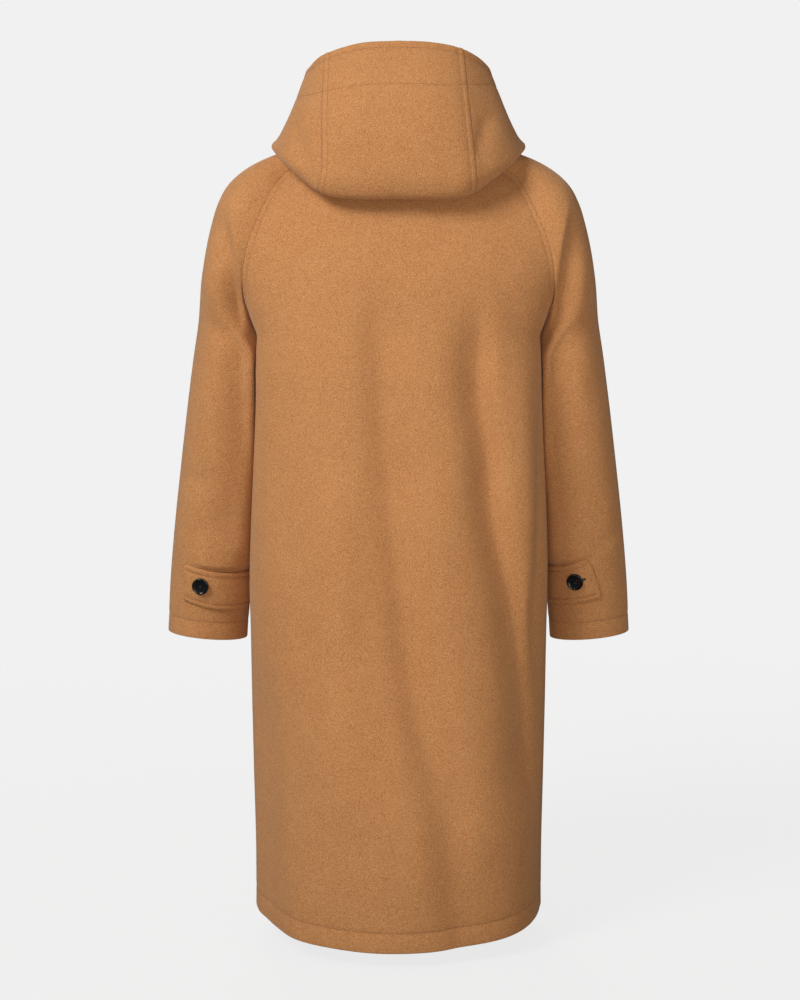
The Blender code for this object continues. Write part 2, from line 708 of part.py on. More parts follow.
def sleeve_point(height, turn_deg):
    """A point on the left sleeve's outer face and its normal."""
    level = UNDERARM + (height - UNDERARM_HEIGHT) / (CUFF_HEIGHT - UNDERARM_HEIGHT)
    nudge = 0.01
    turn = np.array([turn_deg / 180 - nudge, turn_deg / 180, turn_deg / 180 + nudge])
    ring = sleeve_arc(level, turn)
    above = sleeve_arc(level - nudge, turn)
    normal = np.cross(ring[2] - ring[0], above[1] - ring[1])
    normal = unit(normal)
    if np.dot(normal, ring[1] - sleeve_axis(height)) < 0:
        normal = -normal
    return ring[1], normal


def sleeve_axis(height):
    middle_x = float(column(SLEEVE, "outer_x", height) - column(SLEEVE, "half_width", height))
    return np.array([middle_x, float(column(SLEEVE, "middle_y", height)), height])


def tab_place(side, part, width):
    """A point of the sleeve under the tab and its normal: width is -1 at the tab's lower edge, 1 at the upper."""
    beyond = np.clip((part - TAB_CORNER) / (1 - TAB_CORNER), 0, 1)
    rounded = (1 - beyond**3) ** (1 / TAB_CORNER_POWER)
    half = float(column(TABS[side], "half_width", part, "part"))
    share = width * (TAB_TIP_SHARE + (1 - TAB_TIP_SHARE) * rounded)
    turn = float(column(TABS[side], "turn", part, "part")) + TAB_END_SLANT[side] * part * share
    return sleeve_point(float(column(TABS[side], "height", part, "part")) + half * share, turn)


def make_cuff_tab(side):
    """A tab sewn on near the sleeve's inner side, lying round its back, with a button near its free end."""
    flip = np.array([SIDES[side], 1.0, 1.0])
    along = np.concatenate([np.linspace(0, TAB_CORNER, 9), TAB_CORNER + (1 - TAB_CORNER) * np.array([0.45, 0.8, 1.0])])
    outer = []
    inner = []
    for part in along:
        places = [tab_place(side, part, width) for width in np.linspace(-1, 1, 5)]
        inner.append([place + normal * TAB_GAP for place, normal in places])
        outer.append([place + normal * (TAB_GAP + TAB_THICKNESS) for place, normal in places])
    wall(f"cuff_tab_{side}", np.array(outer) * flip, np.array(inner) * flip)
    place, normal = tab_place(side, BUTTON_INSET[side], BUTTON_RISE)
    seat = place + normal * (TAB_GAP + TAB_THICKNESS + SEAM_GAP)
    profile = [
        (0.0, 0.0),
        (BUTTON_RADIUS * 0.78, 0.0),
        (BUTTON_RADIUS, 1.6),
        (BUTTON_RADIUS * 0.97, BUTTON_RIM - 0.6),
        (BUTTON_RADIUS * 0.86, BUTTON_RIM),
        (BUTTON_RADIUS * 0.72, BUTTON_RIM - 0.5),
        (BUTTON_RADIUS * 0.56, BUTTON_DISH),
        (0.0, BUTTON_DISH),
    ]
    turned(f"cuff_button_{side}", profile, seat * flip, normal * flip, HORN_FINISH, BUTTON_SIDES)


def turned(name, profile, place, axis, finish, sides):
    """A round solid: a profile of radii and heights spun about an axis."""
    shape = bmesh.new()
    corners = [shape.verts.new((radius * MM, 0.0, height * MM)) for radius, height in profile]
    edges = [shape.edges.new(pair) for pair in zip(corners, corners[1:])]
    bmesh.ops.spin(
        shape, geom=corners + edges, cent=(0, 0, 0), axis=(0, 0, 1), angle=math.tau, steps=sides, use_merge=True
    )
    bmesh.ops.remove_doubles(shape, verts=shape.verts, dist=0.00001)
    bmesh.ops.recalc_face_normals(shape, faces=shape.faces)
    mesh = bpy.data.meshes.new(name)
    shape.to_mesh(mesh)
    shape.free()
    mesh.shade_smooth()
    mesh.set_sharp_from_angle(angle=SHARP_ANGLE)
    made = add_object(name, mesh, finish)
    made.location = tuple(np.asarray(place) * MM)
    made.rotation_mode = "QUATERNION"
    made.rotation_quaternion = look_along(axis)
    return made


def look_along(axis):
    """The rotation that turns +Z to the axis."""
    from_up = np.array([0.0, 0.0, 1.0])
    axis = unit(np.asarray(axis, float))
    middle = unit(from_up + axis)
    turn = np.cross(from_up, middle)
    return (float(np.dot(from_up, middle)), *[float(value) for value in turn])


def cord(name, route, finish):
    """A round cord along a route."""
    curve = bpy.data.curves.new(name, "CURVE")
    curve.dimensions = "3D"
    curve.bevel_depth = FASTENING_CORD * MM
    curve.bevel_resolution = 1
    curve.use_fill_caps = True
    spline = curve.splines.new("POLY")
    spline.points.add(len(route) - 1)
    for spot, place in zip(spline.points, route):
        spot.co = (*(np.asarray(place) * MM), 1.0)
    return add_object(name, curve, finish)


def front_place(panel, out, height, lift):
    """A point over a front, at a distance out from the centre front and a height, lifted off the cloth."""
    near = 4.0
    here, beside, below = [
        on_panel(panel, place_x, place_z)
        for place_x, place_z in ((out, height), (out + near, height), (out, height - near))
    ]
    normal = unit(np.cross(beside - here, below - here))
    if normal[1] > 0:
        normal = -normal
    return here + normal * lift, normal


def on_panel(panel, out, height):
    """The point of a panel's grid that lies at a distance out and a height."""
    rows = panel if panel[0, 0, 0] < panel[0, -1, 0] else panel[:, ::-1]
    spots = np.array([[np.interp(out, row[:, 0], row[:, axis]) for axis in range(3)] for row in rows])
    return np.array([np.interp(-height, -spots[:, 2], spots[:, axis]) for axis in range(3)])


def make_fastening(number, height, left, right):
    """A toggle on a cord from the right front, held in a cord loop from the left one, each under a sewn patch."""
    make_patch(f"patch_left_{number}", left, height, 1.0)
    make_patch(f"patch_right_{number}", right, height, -1.0)
    floor = FASTENING_CORD + LYING_GAP
    toggle_lift = floor + FASTENING_CORD + SEAM_GAP + TOGGLE_RADIUS
    half = TOGGLE_LENGTH / 2
    place, normal = front_place(left, 0.0, height, toggle_lift)
    profile = [
        (0.0, -half),
        (TOGGLE_RADIUS * 0.45, -half + 0.8),
        (TOGGLE_RADIUS * 0.75, -half * 0.84),
        (TOGGLE_RADIUS, -half * 0.4),
        (TOGGLE_RADIUS, -5.4),
        (TOGGLE_WAIST, -3.4),
        (TOGGLE_WAIST, 3.4),
        (TOGGLE_RADIUS, 5.4),
        (TOGGLE_RADIUS, half * 0.4),
        (TOGGLE_RADIUS * 0.75, half * 0.84),
        (TOGGLE_RADIUS * 0.45, half - 0.8),
        (0.0, half),
    ]
    turned(f"toggle_{number}", profile, place, (1.0, 0.0, 0.0), HORN_FINISH, TOGGLE_SIDES)
    start = -(PATCH_FROM - CORD_END_GAP)
    route = [front_place(right, out, height, lift)[0] for out, lift in ((start, floor), (-46.0, floor + 0.6))]
    route += [front_place(left, out, height, floor)[0] for out in (-30.0, -20.0, -10.0, 0.0)]
    cord(f"toggle_cord_{number}", route, CORD_FINISH)
    beside = TOGGLE_RADIUS + FASTENING_CORD + 0.7
    around = TOGGLE_WAIST + FASTENING_CORD + 0.8
    half_loop = [
        (PATCH_FROM - CORD_END_GAP, 7.0, floor),
        (42.0, beside + 0.6, floor + 0.4),
        (28.0, beside + 0.9, floor + 1.2),
        (14.0, beside + 0.6, floor + 5.0),
        (6.5, beside, toggle_lift),
        (2.0, around + 0.8, toggle_lift + 0.8),
    ]
    for turn in (25, 57, 90):
        angle = math.radians(turn)
        half_loop.append((0.0, around * math.cos(angle), toggle_lift + around * math.sin(angle)))
    upper = [front_place(left, out, height + up, lift)[0] for out, up, lift in half_loop]
    lower = [front_place(left, out, height - up, lift)[0] for out, up, lift in half_loop]
    cord(f"toggle_loop_{number}", upper + lower[-2::-1], CORD_FINISH)


def make_patch(name, panel, height, sign):
    """A patch that narrows to a rounded point away from the centre front, moved out from the cloth below it."""
    along = np.linspace(0, 1, 7)
    across = np.linspace(-1, 1, 5)
    outer = []
    inner = []
    for part in along:
        out = PATCH_FROM + (PATCH_TO - PATCH_FROM) * part
        half = PATCH_HALF_HEIGHT * (1 - part**2.2 * 0.72)
        places = [front_place(panel, sign * out, height + share * half, 0.0) for share in across]
        inner.append([place + normal * PATCH_GAP for place, normal in places])
        outer.append([place + normal * (PATCH_GAP + PATCH_THICKNESS) for place, normal in places])
    wall(name, np.array(outer), np.array(inner))


def main():
    for old in list(bpy.data.objects):
        bpy.data.objects.remove(old, do_unlink=True)
    left, right = make_panels()
    make_hood()
    for side in SIDES:
        make_cuff_tab(side)
    for number, height in enumerate(FASTENING_HEIGHTS, 1):
        make_fastening(number, height, left, right)


main()
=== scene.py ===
"""Long duffle coat in brushed camel wool, hollow as if worn, finished around its plain frame.

Shapes are worked out in millimetres in the coat's own frame: +Z up, front towards -Y, the wearer's left
towards +X, and the origin at the middle of the neck. Meshes are in metres.
"""

import math
from functools import cache, partial

import bmesh
import bpy
import numpy as np
from bpy.props import FloatProperty, FloatVectorProperty, PointerProperty
from mathutils import Matrix, Vector


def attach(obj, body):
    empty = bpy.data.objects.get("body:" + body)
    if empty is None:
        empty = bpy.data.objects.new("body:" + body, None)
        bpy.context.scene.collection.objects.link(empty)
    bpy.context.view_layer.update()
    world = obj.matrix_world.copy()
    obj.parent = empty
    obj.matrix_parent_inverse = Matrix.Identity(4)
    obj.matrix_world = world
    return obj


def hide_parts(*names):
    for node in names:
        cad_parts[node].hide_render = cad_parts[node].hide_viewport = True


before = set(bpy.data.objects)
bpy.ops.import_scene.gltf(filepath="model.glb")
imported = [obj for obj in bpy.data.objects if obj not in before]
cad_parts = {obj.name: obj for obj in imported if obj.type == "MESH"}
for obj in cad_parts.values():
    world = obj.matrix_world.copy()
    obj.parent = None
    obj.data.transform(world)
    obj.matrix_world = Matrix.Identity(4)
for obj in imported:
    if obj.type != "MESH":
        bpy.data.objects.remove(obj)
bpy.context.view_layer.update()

bl_info = {
    "name": "Duffle coat",
    "version": (1, 0, 0),
    "blender": (4, 5, 0),
    "location": "3D View > Sidebar > Coat",
    "description": "Cuts, sews and finishes a long duffle coat in brushed wool, with toggles and cuff tabs",
    "category": "Add Mesh",
}

MM = 0.001

# Cloth and seams
SEAM_GAP = 0.3
SEAM_SLIT = 0.06
VALLEY = 0.35
VALLEY_SPREAD = 1.3
HOOD_SEAM_GAP = 0.7
TAB_GAP = 1.1
LYING_GAP = 0.4
CORD_END_GAP = 1.0
SLEEVE_CLEARANCE = 3.0
SLEEVE_PART_RUN = 8.0
UNDERARM_SHIFT = 15.0
UNDERARM_SHIFT_RUN = 150.0
RING_FULLNESS = 0.12
DENT_DEPTH_SPREAD = 66.0

# Levels: 0 at the neck, UNDERARM at the underarm, one more at the hem or the cuff
UNDERARM = 11
SIDE_LEVELS = 3
UNDERARM_HEIGHT = -262.0
HEM_SIDE = -1041.0
HEM_BACK = -1062.0
HEM_FRONT = -1047.0
CUFF_HEIGHT = -673.0
UPPER_ROWS = 66
BODY_ROWS_BELOW = 186
SLEEVE_ROWS_BELOW = 104

# Columns between the close ones along each edge
BACK_COLUMNS = 108
FRONT_COLUMNS = 60
SLEEVE_COLUMNS = 92
HOOD_CENTRE_COLUMNS = 44
HOOD_SIDE_COLUMNS = 76
HOOD_ROWS = 66
FACING_ROW = 22
# Samples along each line before the columns are placed on it
BODY_SAMPLES = 501
SLEEVE_SAMPLES = 401
HOOD_SAMPLES = 500
STATION_SAMPLES = 301

# How far from an edge the rows or columns beside it and beside its stitches lie
SEAM_MARKS = (0.0, 0.9, 2.0, 3.4)
SEAM_STITCH = 6.5
EDGE_STITCH = 8.0
HEM_STITCH = 26.0
CUFF_STITCH = 24.0
STITCH_MARKS = (-2.6, -1.3, 0.0, 1.3, 2.6)
MARKS_REACH = 0.45

# How deep stitches pull the cloth in and how far beside them, and how uneven that is
GROOVE = ((0.5, 1.2), (0.3, 5.0))
GROOVE_UNEVEN = 0.45
# Rings of a stitch: the part of its length, its thickness and its lift
STITCH_SHAPE = ((-0.5, 0.25, -0.5), (-0.34, 1, 0.1), (0, 1, 0.32), (0.34, 1, 0.1), (0.5, 0.25, -0.5))
STITCH_SIDES = 5
STITCH_ASKEW = 0.05
STITCH_WANDER = 7
EDGE_ANGLES = (math.pi / 4, 0.0, -math.pi / 4)

# Front overlap, the left front over the right one
OVERLAP = 32.0
OVERLAP_STEP = 14.0
OVERLAP_INSET = 3.4

# Fastenings
FASTENING_HEIGHTS = (-170.0, -315.0, -460.0, -605.0)
TOGGLE_RADIUS = 6.5
TOGGLE_WAIST = 4.4
TOGGLE_TURN = 40
FASTENING_CORD = 2.0
PATCH_FROM = 56.0
PATCH_TO = 92.0
PATCH_HALF_HEIGHT = 17.0
PATCH_THICKNESS = 2.0
PATCH_GAP = 0.8
PATCH_STITCH = 3.4
PATCH_THREAD = {"length": 2.6, "gap": 0.8, "radius": 0.33}
PATCH_THREAD_SINK = 0.55
# How far a patch narrows along it, as a power and a share
PATCH_TAPER = (2.2, 0.72)
CORD_TIP = 0.04
# A cord's strands, the length of their full turn, and how far they stand out as a share of the radius
CORD_TWIST = (3, 11.0, 0.34)
HOLE_TWIST = (6, 9.0, 0.2)
CORD_LIFT = FASTENING_CORD + LYING_GAP
TOGGLE_LIFT = CORD_LIFT + FASTENING_CORD + SEAM_GAP + TOGGLE_RADIUS
# The net of a front's depths: its step, and where it runs across and up
NET = 2.0
NET_ACROSS = (-110.0, 110.1)
NET_HEIGHTS = (-700.0, -119.0)

# Buttonholes of the cuff tabs
HOLE_HALF_LENGTH = 10.5
HOLE_HALF_WIDTH = 1.3
HOLE_EDGE = 0.9
HOLE_SHIFT = {"left": 0.0, "right": 4.0}

# Cuff tabs
TAB_THICKNESS = 3.0
TAB_END_SLANT = {"left": 0.0, "right": 7.0}
TAB_CORNER = 0.93
TAB_CORNER_POWER = 2.6
TAB_TIP_SHARE = 0.015
TAB_STITCH = 6.5
TAB_STITCH_START = 0.02
TAB_THREAD_SINK = 0.45
# Stitches in a small piece: how much of a groove they press, how deep its edge sinks and how far in
TAB_PRESS = (1.4, 0.9, 1.2)
PATCH_PRESS = (0.7, 0.8, 1.0)
BUTTON_INSET = {"left": 0.72, "right": 0.655}
BUTTON_RISE = 0.14
BUTTON_SPIN = 31
# In metres; the dish as steps inwards, as shares of the radius, and down
BUTTON_THICKNESS = 0.0046
BUTTON_DISH = ((0.2, 0.0), (0.12, 0.0016), (0.22, 0.0004))
BUTTON_ROUND_TOP = 0.0008
BUTTON_ROUND_BACK = 0.0012
BUTTON_HOLES_OUT = 0.0024
BUTTON_HOLE_RADIUS = 0.0009
DRILL_LENGTH = 0.02
TOUCH = 1e-5

# What turns a shape on the wearer's left to each side
SIDES = {"left": np.array([1.0, 1.0, 1.0]), "right": np.array([-1.0, 1.0, 1.0])}
TO_BACK = (0, 1, 0)
TO_FRONT = (0, -1, 0)
# Finished grids and normals, kept for the topstitching
SHAPED = {}


def table(columns, *rows):
    """A short table, as one array for each named column."""
    return dict(zip(columns.split(), np.array(rows, float).T))


# Upper body, a row for each level from the neck to the underarm: the centre back, the raglan seams on the
# back and on the front, the line along the top of the shoulder and sleeve, the centre front, and how far
# the sleeve turns from its top line to each seam.
YOKE = table(
    "cb_y cb_z back_x back_y back_z top_x top_y top_z front_x front_y front_z cf_y cf_z turn",
    (70, -16, 60, 62, -10, 78, 0, 0, 66, -62, -36, -100, -88, 75),
    (92, -40, 105, 56, -22, 118, -1, -9, 98, -82, -58, -108, -104, 82),
    (105, -66, 147, 54, -42, 160, -3, -21, 128, -93, -86, -116, -124, 90),
    (116, -92, 166, 66, -65, 198, -6, -38, 148, -98, -112, -122, -144, 97),
    (122, -116, 179, 79, -90, 225, -8, -60, 162, -99, -138, -128, -164, 103),
    (128, -140, 189, 86, -113, 240, -10, -86, 173, -96, -162, -132, -182, 109),
    (134, -164, 197, 88, -136, 249, -12, -114, 181, -91, -184, -135, -198, 115),
    (138, -186, 202.5, 86, -160, 256, -13, -146, 187, -83, -204, -137.5, -214, 121),
    (141, -208, 204.5, 79, -185, 261.5, -14, -180, 189.5, -71, -222, -139.5, -229, 129),
    (143, -228, 202.5, 64, -212, 266, -15, -212, 187.5, -54, -239, -141, -241, 140),
    (144.8, -246, 190.5, 38, -238, 270.5, -16, -240, 180, -32, -252, -141.7, -252, 156),
    (146, -262, 170, -2, -262, 275, -17, -262, 170, -2, -262, -142, -262, 180),
)

# Body by height: half its width, its depth at the back and front, the dent where a sleeve lies against it,
# how far back that dent and the side seam are.
BODY = table(
    "height half_width back_y front_y dent dent_y seam_y",
    (-1065, 198, 166, -156, 0, -50, 34),
    (-950, 198, 164, -154, 0, -50, 34),
    (-850, 200, 160, -152, 0, -50, 33),
    (-760, 201.5, 158, -151, 0, -50, 31),
    (-660, 203.5, 155, -150, 2, -50, 28),
    (-600, 207, 154, -149, 8, -46, 24),
    (-520, 209, 152, -147, 20, -38, 18),
    (-450, 210, 150, -145, 30, -30, 11),
    (-381, 211, 149, -144, 38, -22, 6),
    (-334, 214, 148, -143, 44, -14, 2),
    (-300, 218, 148, -142, 49, -8, 0),
    (-262, 222, 146, -142, 52, -2, -2),
    (-240, 226, 145, -141, 44, 0, -2),
    (-212, 230, 143, -140, 30, 0, -2),
    (-186, 235, 141, -139, 14, 0, -2),
    (-160, 239, 138, -137, 0, 0, -2),
)

# Sleeve below the underarm: its outer edge, half its width and depth, its middle, and its rings' slope
SLEEVE = table(
    "height outer_x half_width half_depth middle_y slope",
    (-673, 321.5, 55, 52, -52, 5),
    (-600, 317, 56, 60, -46, 4),
    (-520, 309, 57, 68, -38, 3),
    (-450, 300.5, 57.5, 74, -31, 2),
    (-381, 291.5, 57.5, 79, -24, 1),
    (-300, 280.5, 55, 83, -18, 0.5),
    (-262, 275, 52.5, 85, -16, 0),
)

# The fold where the arm hangs away from the back: how far out it runs and how deep it is, by height
ARMHOLE_FOLD = table(
    "height out depth",
    (-262, 203, 8),
    (-235, 206, 10),
    (-205, 209, 11),
    (-164, 213, 11),
    (-134, 217, 11),
    (-110, 222, 9),
    (-92, 225, 4),
    (-70, 228, 0),
    (-40, 232, 0),
    (10, 236, 0),
)
ARMHOLE_FOLD_EDGE = 10.0
ARMHOLE_FOLD_DEEPER = 1.25
ARMHOLE_FOLD_REACH = 42.0
# Below the armhole the sleeve swells beside the body
SWELL = 13.0
SWELL_OUTER = 5.0
SWELL_IN = 9.0
SWELL_SPREAD = 20.0
SWELL_REAR = 3.6
SWELL_RUN = 40.0
SWELL_LOW = -578.0
FOLD_BEHIND = -5.0
FOLD_BEHIND_RUN = 30.0
SEAM_HOLD = 0.125
PRESS_HOLD = 0.035
BEND_ROWS = 7
BEND_HOLD = 0.14
SEAM_EASE = 15.0
SEAM_LIFT = 7.0
SEAM_SINK = -2.0
SEAM_LOOK = 4
SEAM_FADES = (8, 12)
SEAM_FADE_FROM = 0.82

# Soft upright folds of the back and the front: their spread to the wearer's left and right, and their
# route as heights, places across and depths there (minus is a ridge).
FOLDS = {
    "back": (
        (33.0, 12.0, (
            (-200, -99, 12), (-270, -108, 17), (-335, -111, 20), (-400, -124, 21), (-470, -129, 21),
            (-535, -141, 19), (-600, -156, 17), (-668, -164, 14), (-733, -171, 12), (-866, -178, 10),
        )),
        (26.0, 48.0, (
            (-180, 30, 12), (-335, 17, 14), (-470, 7, 14), (-600, -8, 14), (-733, -24, 14), (-800, -40, 13),
            (-865, -58, 11), (-1057, -85, 8),
        )),
        (40.0, 30.0, ((-420, 84, -6), (-600, 80, -9), (-760, 76, -9), (-900, 72, -7))),
        (60.0, 105.0, ((-640, 30, -2), (-760, 30, -6), (-866, 26, -9), (-1057, 20, -10))),
        (20.0, 20.0, ((-270, -160, -6), (-400, -166, -8), (-500, -173, -8), (-600, -182, -5))),
        (26.0, 40.0, ((-420, -30, -6), (-600, -48, -6), (-733, -66, -6), (-866, -100, -5), (-950, -108, -5))),
        (26.0, 26.0, ((-700, 178, 8), (-900, 176, 8), (-1057, 174, 8))),
    ),
    "front": (
        (30.0, 30.0, ((-250, 108, 11), (-480, 118, 11), (-760, 140, 11), (-1000, 150, 11))),
        (28.0, 28.0, ((-330, -116, 10), (-560, -120, 10), (-860, -150, 10))),
        (36.0, 36.0, ((-520, 66, -6), (-1050, 82, -6))),
    ),
}
FOLD_FADE = 110.0
FOLD_SEAM_FADE = 6.0

# Smaller creases by piece and face: their depth (minus is a ridge), their spread, and their route as places
# across (plus is the wearer's left) and heights.
CREASES = {
    ("back", "back"): (
        (8.0, 8.0, ((-187, -300), (-185, -438), (-184, -553), (-185, -640), (-189, -760))),
        (2.2, 20.0, ((148, -300), (156, -420), (150, -560))),
        (-1.8, 26.0, ((66, -260), (74, -420), (62, -600))),
        (1.6, 15.0, ((-52, -640), (-74, -820), (-84, -1000))),
        (1.5, 13.0, ((134, -660), (140, -840), (137, -1010))),
        (-1.6, 22.0, ((-20, -850), (-36, -1040))),
        (1.4, 12.0, ((-120, -150), (-150, -214), (-163, -262))),
        (1.3, 12.0, ((128, -160), (158, -222), (170, -270))),
    ),
    ("front", "front"): (
        (2.2, 18.0, ((148, -240), (130, -340), (126, -470))),
        (-2.2, 24.0, ((-60, -420), (-66, -640), (-80, -900))),
        (1.8, 15.0, ((-152, -250), (-134, -330), (-138, -420))),
        (1.6, 16.0, ((60, -700), (72, -860), (70, -1030))),
    ),
    ("sleeve_left", "back"): (
        (2.4, 14.0, ((262, -190), (247, -236), (232, -262))),
        (-2.0, 22.0, ((254, -300), (262, -380), (258, -440))),
        (1.8, 13.0, ((296, -430), (280, -452), (262, -462))),
        (2.0, 16.0, ((236, -490), (262, -522), (290, -534))),
    ),
    ("sleeve_left", "front"): (
        (3.2, 13.0, ((214, -420), (240, -436), (276, -430))),
        (2.2, 15.0, ((222, -480), (250, -470), (282, -450))),
        (2.6, 17.0, ((206, -216), (226, -262), (232, -330))),
    ),
    ("sleeve_right", "back"): (
        (2.8, 17.0, ((-264, -160), (-252, -226), (-236, -290))),
        (-1.8, 20.0, ((-272, -330), (-268, -420), (-276, -500))),
        (1.6, 12.0, ((-300, -520), (-284, -534), (-262, -538))),
        (1.5, 16.0, ((-244, -430), (-262, -470), (-284, -488))),
    ),
    ("sleeve_right", "front"): (
        (3.0, 14.0, ((-216, -400), (-244, -424), (-280, -424))),
        (2.4, 16.0, ((-220, -500), (-254, -484), (-284, -458))),
        (2.4, 15.0, ((-204, -210), (-222, -270), (-236, -350))),
    ),
    ("hood_side_left", "back"): (
        (2.6, 7.5, ((133, 38), (131, 4), (118, -34), (104, -58))),
        (-1.4, 12.0, ((118, 60), (112, 20), (108, -20))),
    ),
    ("hood_side_right", "back"): (
        (2.6, 8.0, ((-117, 38), (-108, 8), (-99, -20))),
        (-1.6, 12.0, ((-132, 30), (-128, -6), (-118, -40))),
    ),
}
CREASE_END_POWER = 0.7

# The sleeve puffs out over the tab's upper edge
PUFF = 7.0
PUFF_START = 0.6
PUFF_RISE = 8.0
PUFF_RUN = 40.0
PUFF_SIDE = 34.0

# Cuff tabs along their length, from the root (0) to the free end (1): the height of the middle, half the
# width, and how far round the sleeve.
TABS = {
    "left": table(
        "part height half_width turn",
        (0, -603, 25, 158),
        (0.5, -603.5, 25.5, 105),
        (1, -594.5, 24.5, 52),
    ),
    "right": table(
        "part height half_width turn",
        (0, -596, 25.5, 158),
        (0.5, -594.5, 26, 119.5),
        (1, -586.5, 27.5, 81),
    ),
}

# Hood, by stations round the neck from the centre back (0) to the centre front (22): the hump over the
# neck, the hidden layer, the lower fold, the outer wall low and high, and the rim.
HOOD_SEAM_STATION = 6
HOOD_SIDE_STATION = 16
HOOD_END_STATION = 22
HOOD_STATION_STEP = 0.25
HOOD_COLUMN_NAMES = (
    "station hump_x hump_y hump_z under_x under_y under_z fold_x fold_y fold_z "
    "low_x low_y low_z high_x high_y high_z rim_x rim_y rim_z bend"
)
HOOD_LEFT = table(
    HOOD_COLUMN_NAMES,
    (0, 0, 84, 27, 0, 108, -22, 0, 134, -76, 0, 149, -33, 0, 138, 45, 0, 103, 126, 13),
    (3, 38, 80, 29, 48, 104, -19, 58, 132, -76, 62, 146, -34, 58, 136, 44, 50, 101, 123, 13),
    (6, 68, 62, 34, 86, 88, -10, 102.5, 120, -67, 99, 134, -34, 99, 120, 42, 97, 84, 110, 13),
    (8.5, 84, 36, 36, 112, 52, 12, 143, 82, -34, 149, 88, -11, 134, 76, 42, 115, 58, 98, 12),
    (11, 93, 2, 33, 126, 7, 17, 167, 10, -9, 157, 12, 11, 137, 20, 48, 123, 32, 86, 9),
    (13.5, 90, -42, 18, 112, -53, 0, 141, -62, -32, 138, -63, -14, 127, -46, 22, 116, -24, 58, 8),
    (16.5, 70, -82, -22, 84, -92, -38, 98, -105, -66, 102, -110, -50, 97, -96, -20, 89, -73, 10, 9),
    (19.5, 36, -104, -60, 41, -110, -68, 46, -121, -91, 49, -128, -76, 49, -123, -55, 44, -104, -30, 9),
    (22, 5, -107, -76, 5, -112, -80, 6, -121, -94, 7, -129, -83, 7, -126, -71, 6, -114, -58, 8),
)
HOOD_RIGHT = {name: values.copy() for name, values in HOOD_LEFT.items()}
HOOD_RIGHT["rim_x"][1:4] = (44, 85, 112)
HOOD_RIGHT["rim_y"][1:4] = (102, 90, 63)
HOOD_RIGHT["rim_z"][1:4] = (124, 116, 102)
HOOD_RIGHT["high_x"][1:3] = (50, 92)
HOOD_RIGHT["low_x"][1:3] = (58, 100)
HOOD_RIGHT["fold_x"][1:3] = (56, 99)
HOOD = {"left": HOOD_LEFT, "right": HOOD_RIGHT}
BEND_ALONG = 0.9
BEND_APART = 0.55

# How far below the rim the hood's facing is sewn, by station
FACING = table(
    "station left right",
    (0, 62, 62),
    (5, 60, 56),
    (7, 54, 44),
    (9, 44, 30),
    (12, 30, 26),
    (22, 24, 24),
)
FACING_REACH = 0.42
FACING_GAP = 3.6
WELT = 9.0
WELT_RISE = 0.6
WELT_SIDES = (3.5, 2.5)
WELT_STITCH = 2.0
# A row of the hood's outer wall, where its normals point away from the neck
HOOD_OUTER_ROW = -8

# Lamps: name, place, the height they are aimed at, size, share of the main light's power, and colour
LAMPS = (
    ("main_light", (2.4, 2.7, 2.4), -0.6, 1.9, 1.0, (1.0, 0.99, 0.98)),
    ("fill_light", (0.1, 3.3, -0.9), -0.75, 1.6, 0.25, (1.0, 0.95, 0.9)),
    ("edge_light", (-2.4, 1.7, -0.3), -0.5, 1.6, 0.08, (1.0, 0.9, 0.8)),
    ("front_light", (0.4, -2.6, 1.2), -0.5, 1.8, 0.3, (1.0, 0.99, 0.98)),
)
AIR_COLOUR = (1.0, 0.93, 0.87, 1.0)
CAMERA_PLACE = (-0.002, 3.0, -0.117)
CAMERA_TARGET = (-0.002, 0, -0.481)
CAMERA_SENSOR = 36
FLOOR_PLACE = (0, 0, -1.085)
FLOOR_RADIUS = 3.2


def through(places, values, where):
    """Smooth curve through the values, each at its place; where may be one place or many."""
    order = np.argsort(places)
    places = np.asarray(places, float)[order]
    values = np.asarray(values, float)[order]
    slopes = np.gradient(values, places, axis=0)
    spot = np.clip(np.searchsorted(places, where, side="right") - 1, 0, len(places) - 2)
    step = places[spot + 1] - places[spot]
    part = (where - places[spot]) / step
    if values.ndim > 1:
        step = step[..., None] if np.ndim(step) else step
        part = part[..., None] if np.ndim(part) else part
    start = (1 + 2 * part) * (1 - part) ** 2 * values[spot] + part * (1 - part) ** 2 * step * slopes[spot]
    end = part**2 * (3 - 2 * part) * values[spot + 1] + part**2 * (part - 1) * step * slopes[spot + 1]
    return start + end


def ease(part):
    """Rises softly from 0 to 1."""
    part = np.clip(part, 0.0, 1.0)
    return part * part * (3 - 2 * part)


def hump(away, spread):
    """A soft swell, 1 in its middle."""
    return np.exp(-((away / spread) ** 2))


def wander(along, seed):
    """An uneven value about 0 that changes slowly along a line in millimetres."""
    total = np.zeros(np.shape(along))
    for k, wave in enumerate((61.0, 37.0, 23.0, 13.7)):
        total += np.sin(math.tau * np.asarray(along) / wave + seed * (1.7 + k) + k * k)
    return total / 4


def unit(vectors):
    return vectors / np.maximum(np.linalg.norm(vectors, axis=-1, keepdims=True), 1e-9)


def without(vectors, direction):
    """The vectors less their part along a direction."""
    direction = unit(direction)
    return vectors - direction * np.sum(vectors * direction, axis=-1, keepdims=True)


def column(source, name, where, key="height"):
    return through(source[key], source[name], where)


def point(source, name, where, key):
    """A point of a table, from its three columns."""
    return np.stack([column(source, f"{name}_{axis}", where, key) for axis in "xyz"], axis=-1)


def yoke(name, level):
    return through(np.arange(UNDERARM + 1), YOKE[name], level)


def yoke_point(name, level):
    """A point of the yoke; close to the underarm the seams lie on the body's side."""
    place = np.stack([yoke(f"{name}_{axis}", level) for axis in "xyz"], axis=-1)
    if name != "top" and level > UNDERARM - 1:
        place[0] += (body_side(place[1], place[2]) - place[0]) * ease((level - UNDERARM + 1) * 2)
    return place


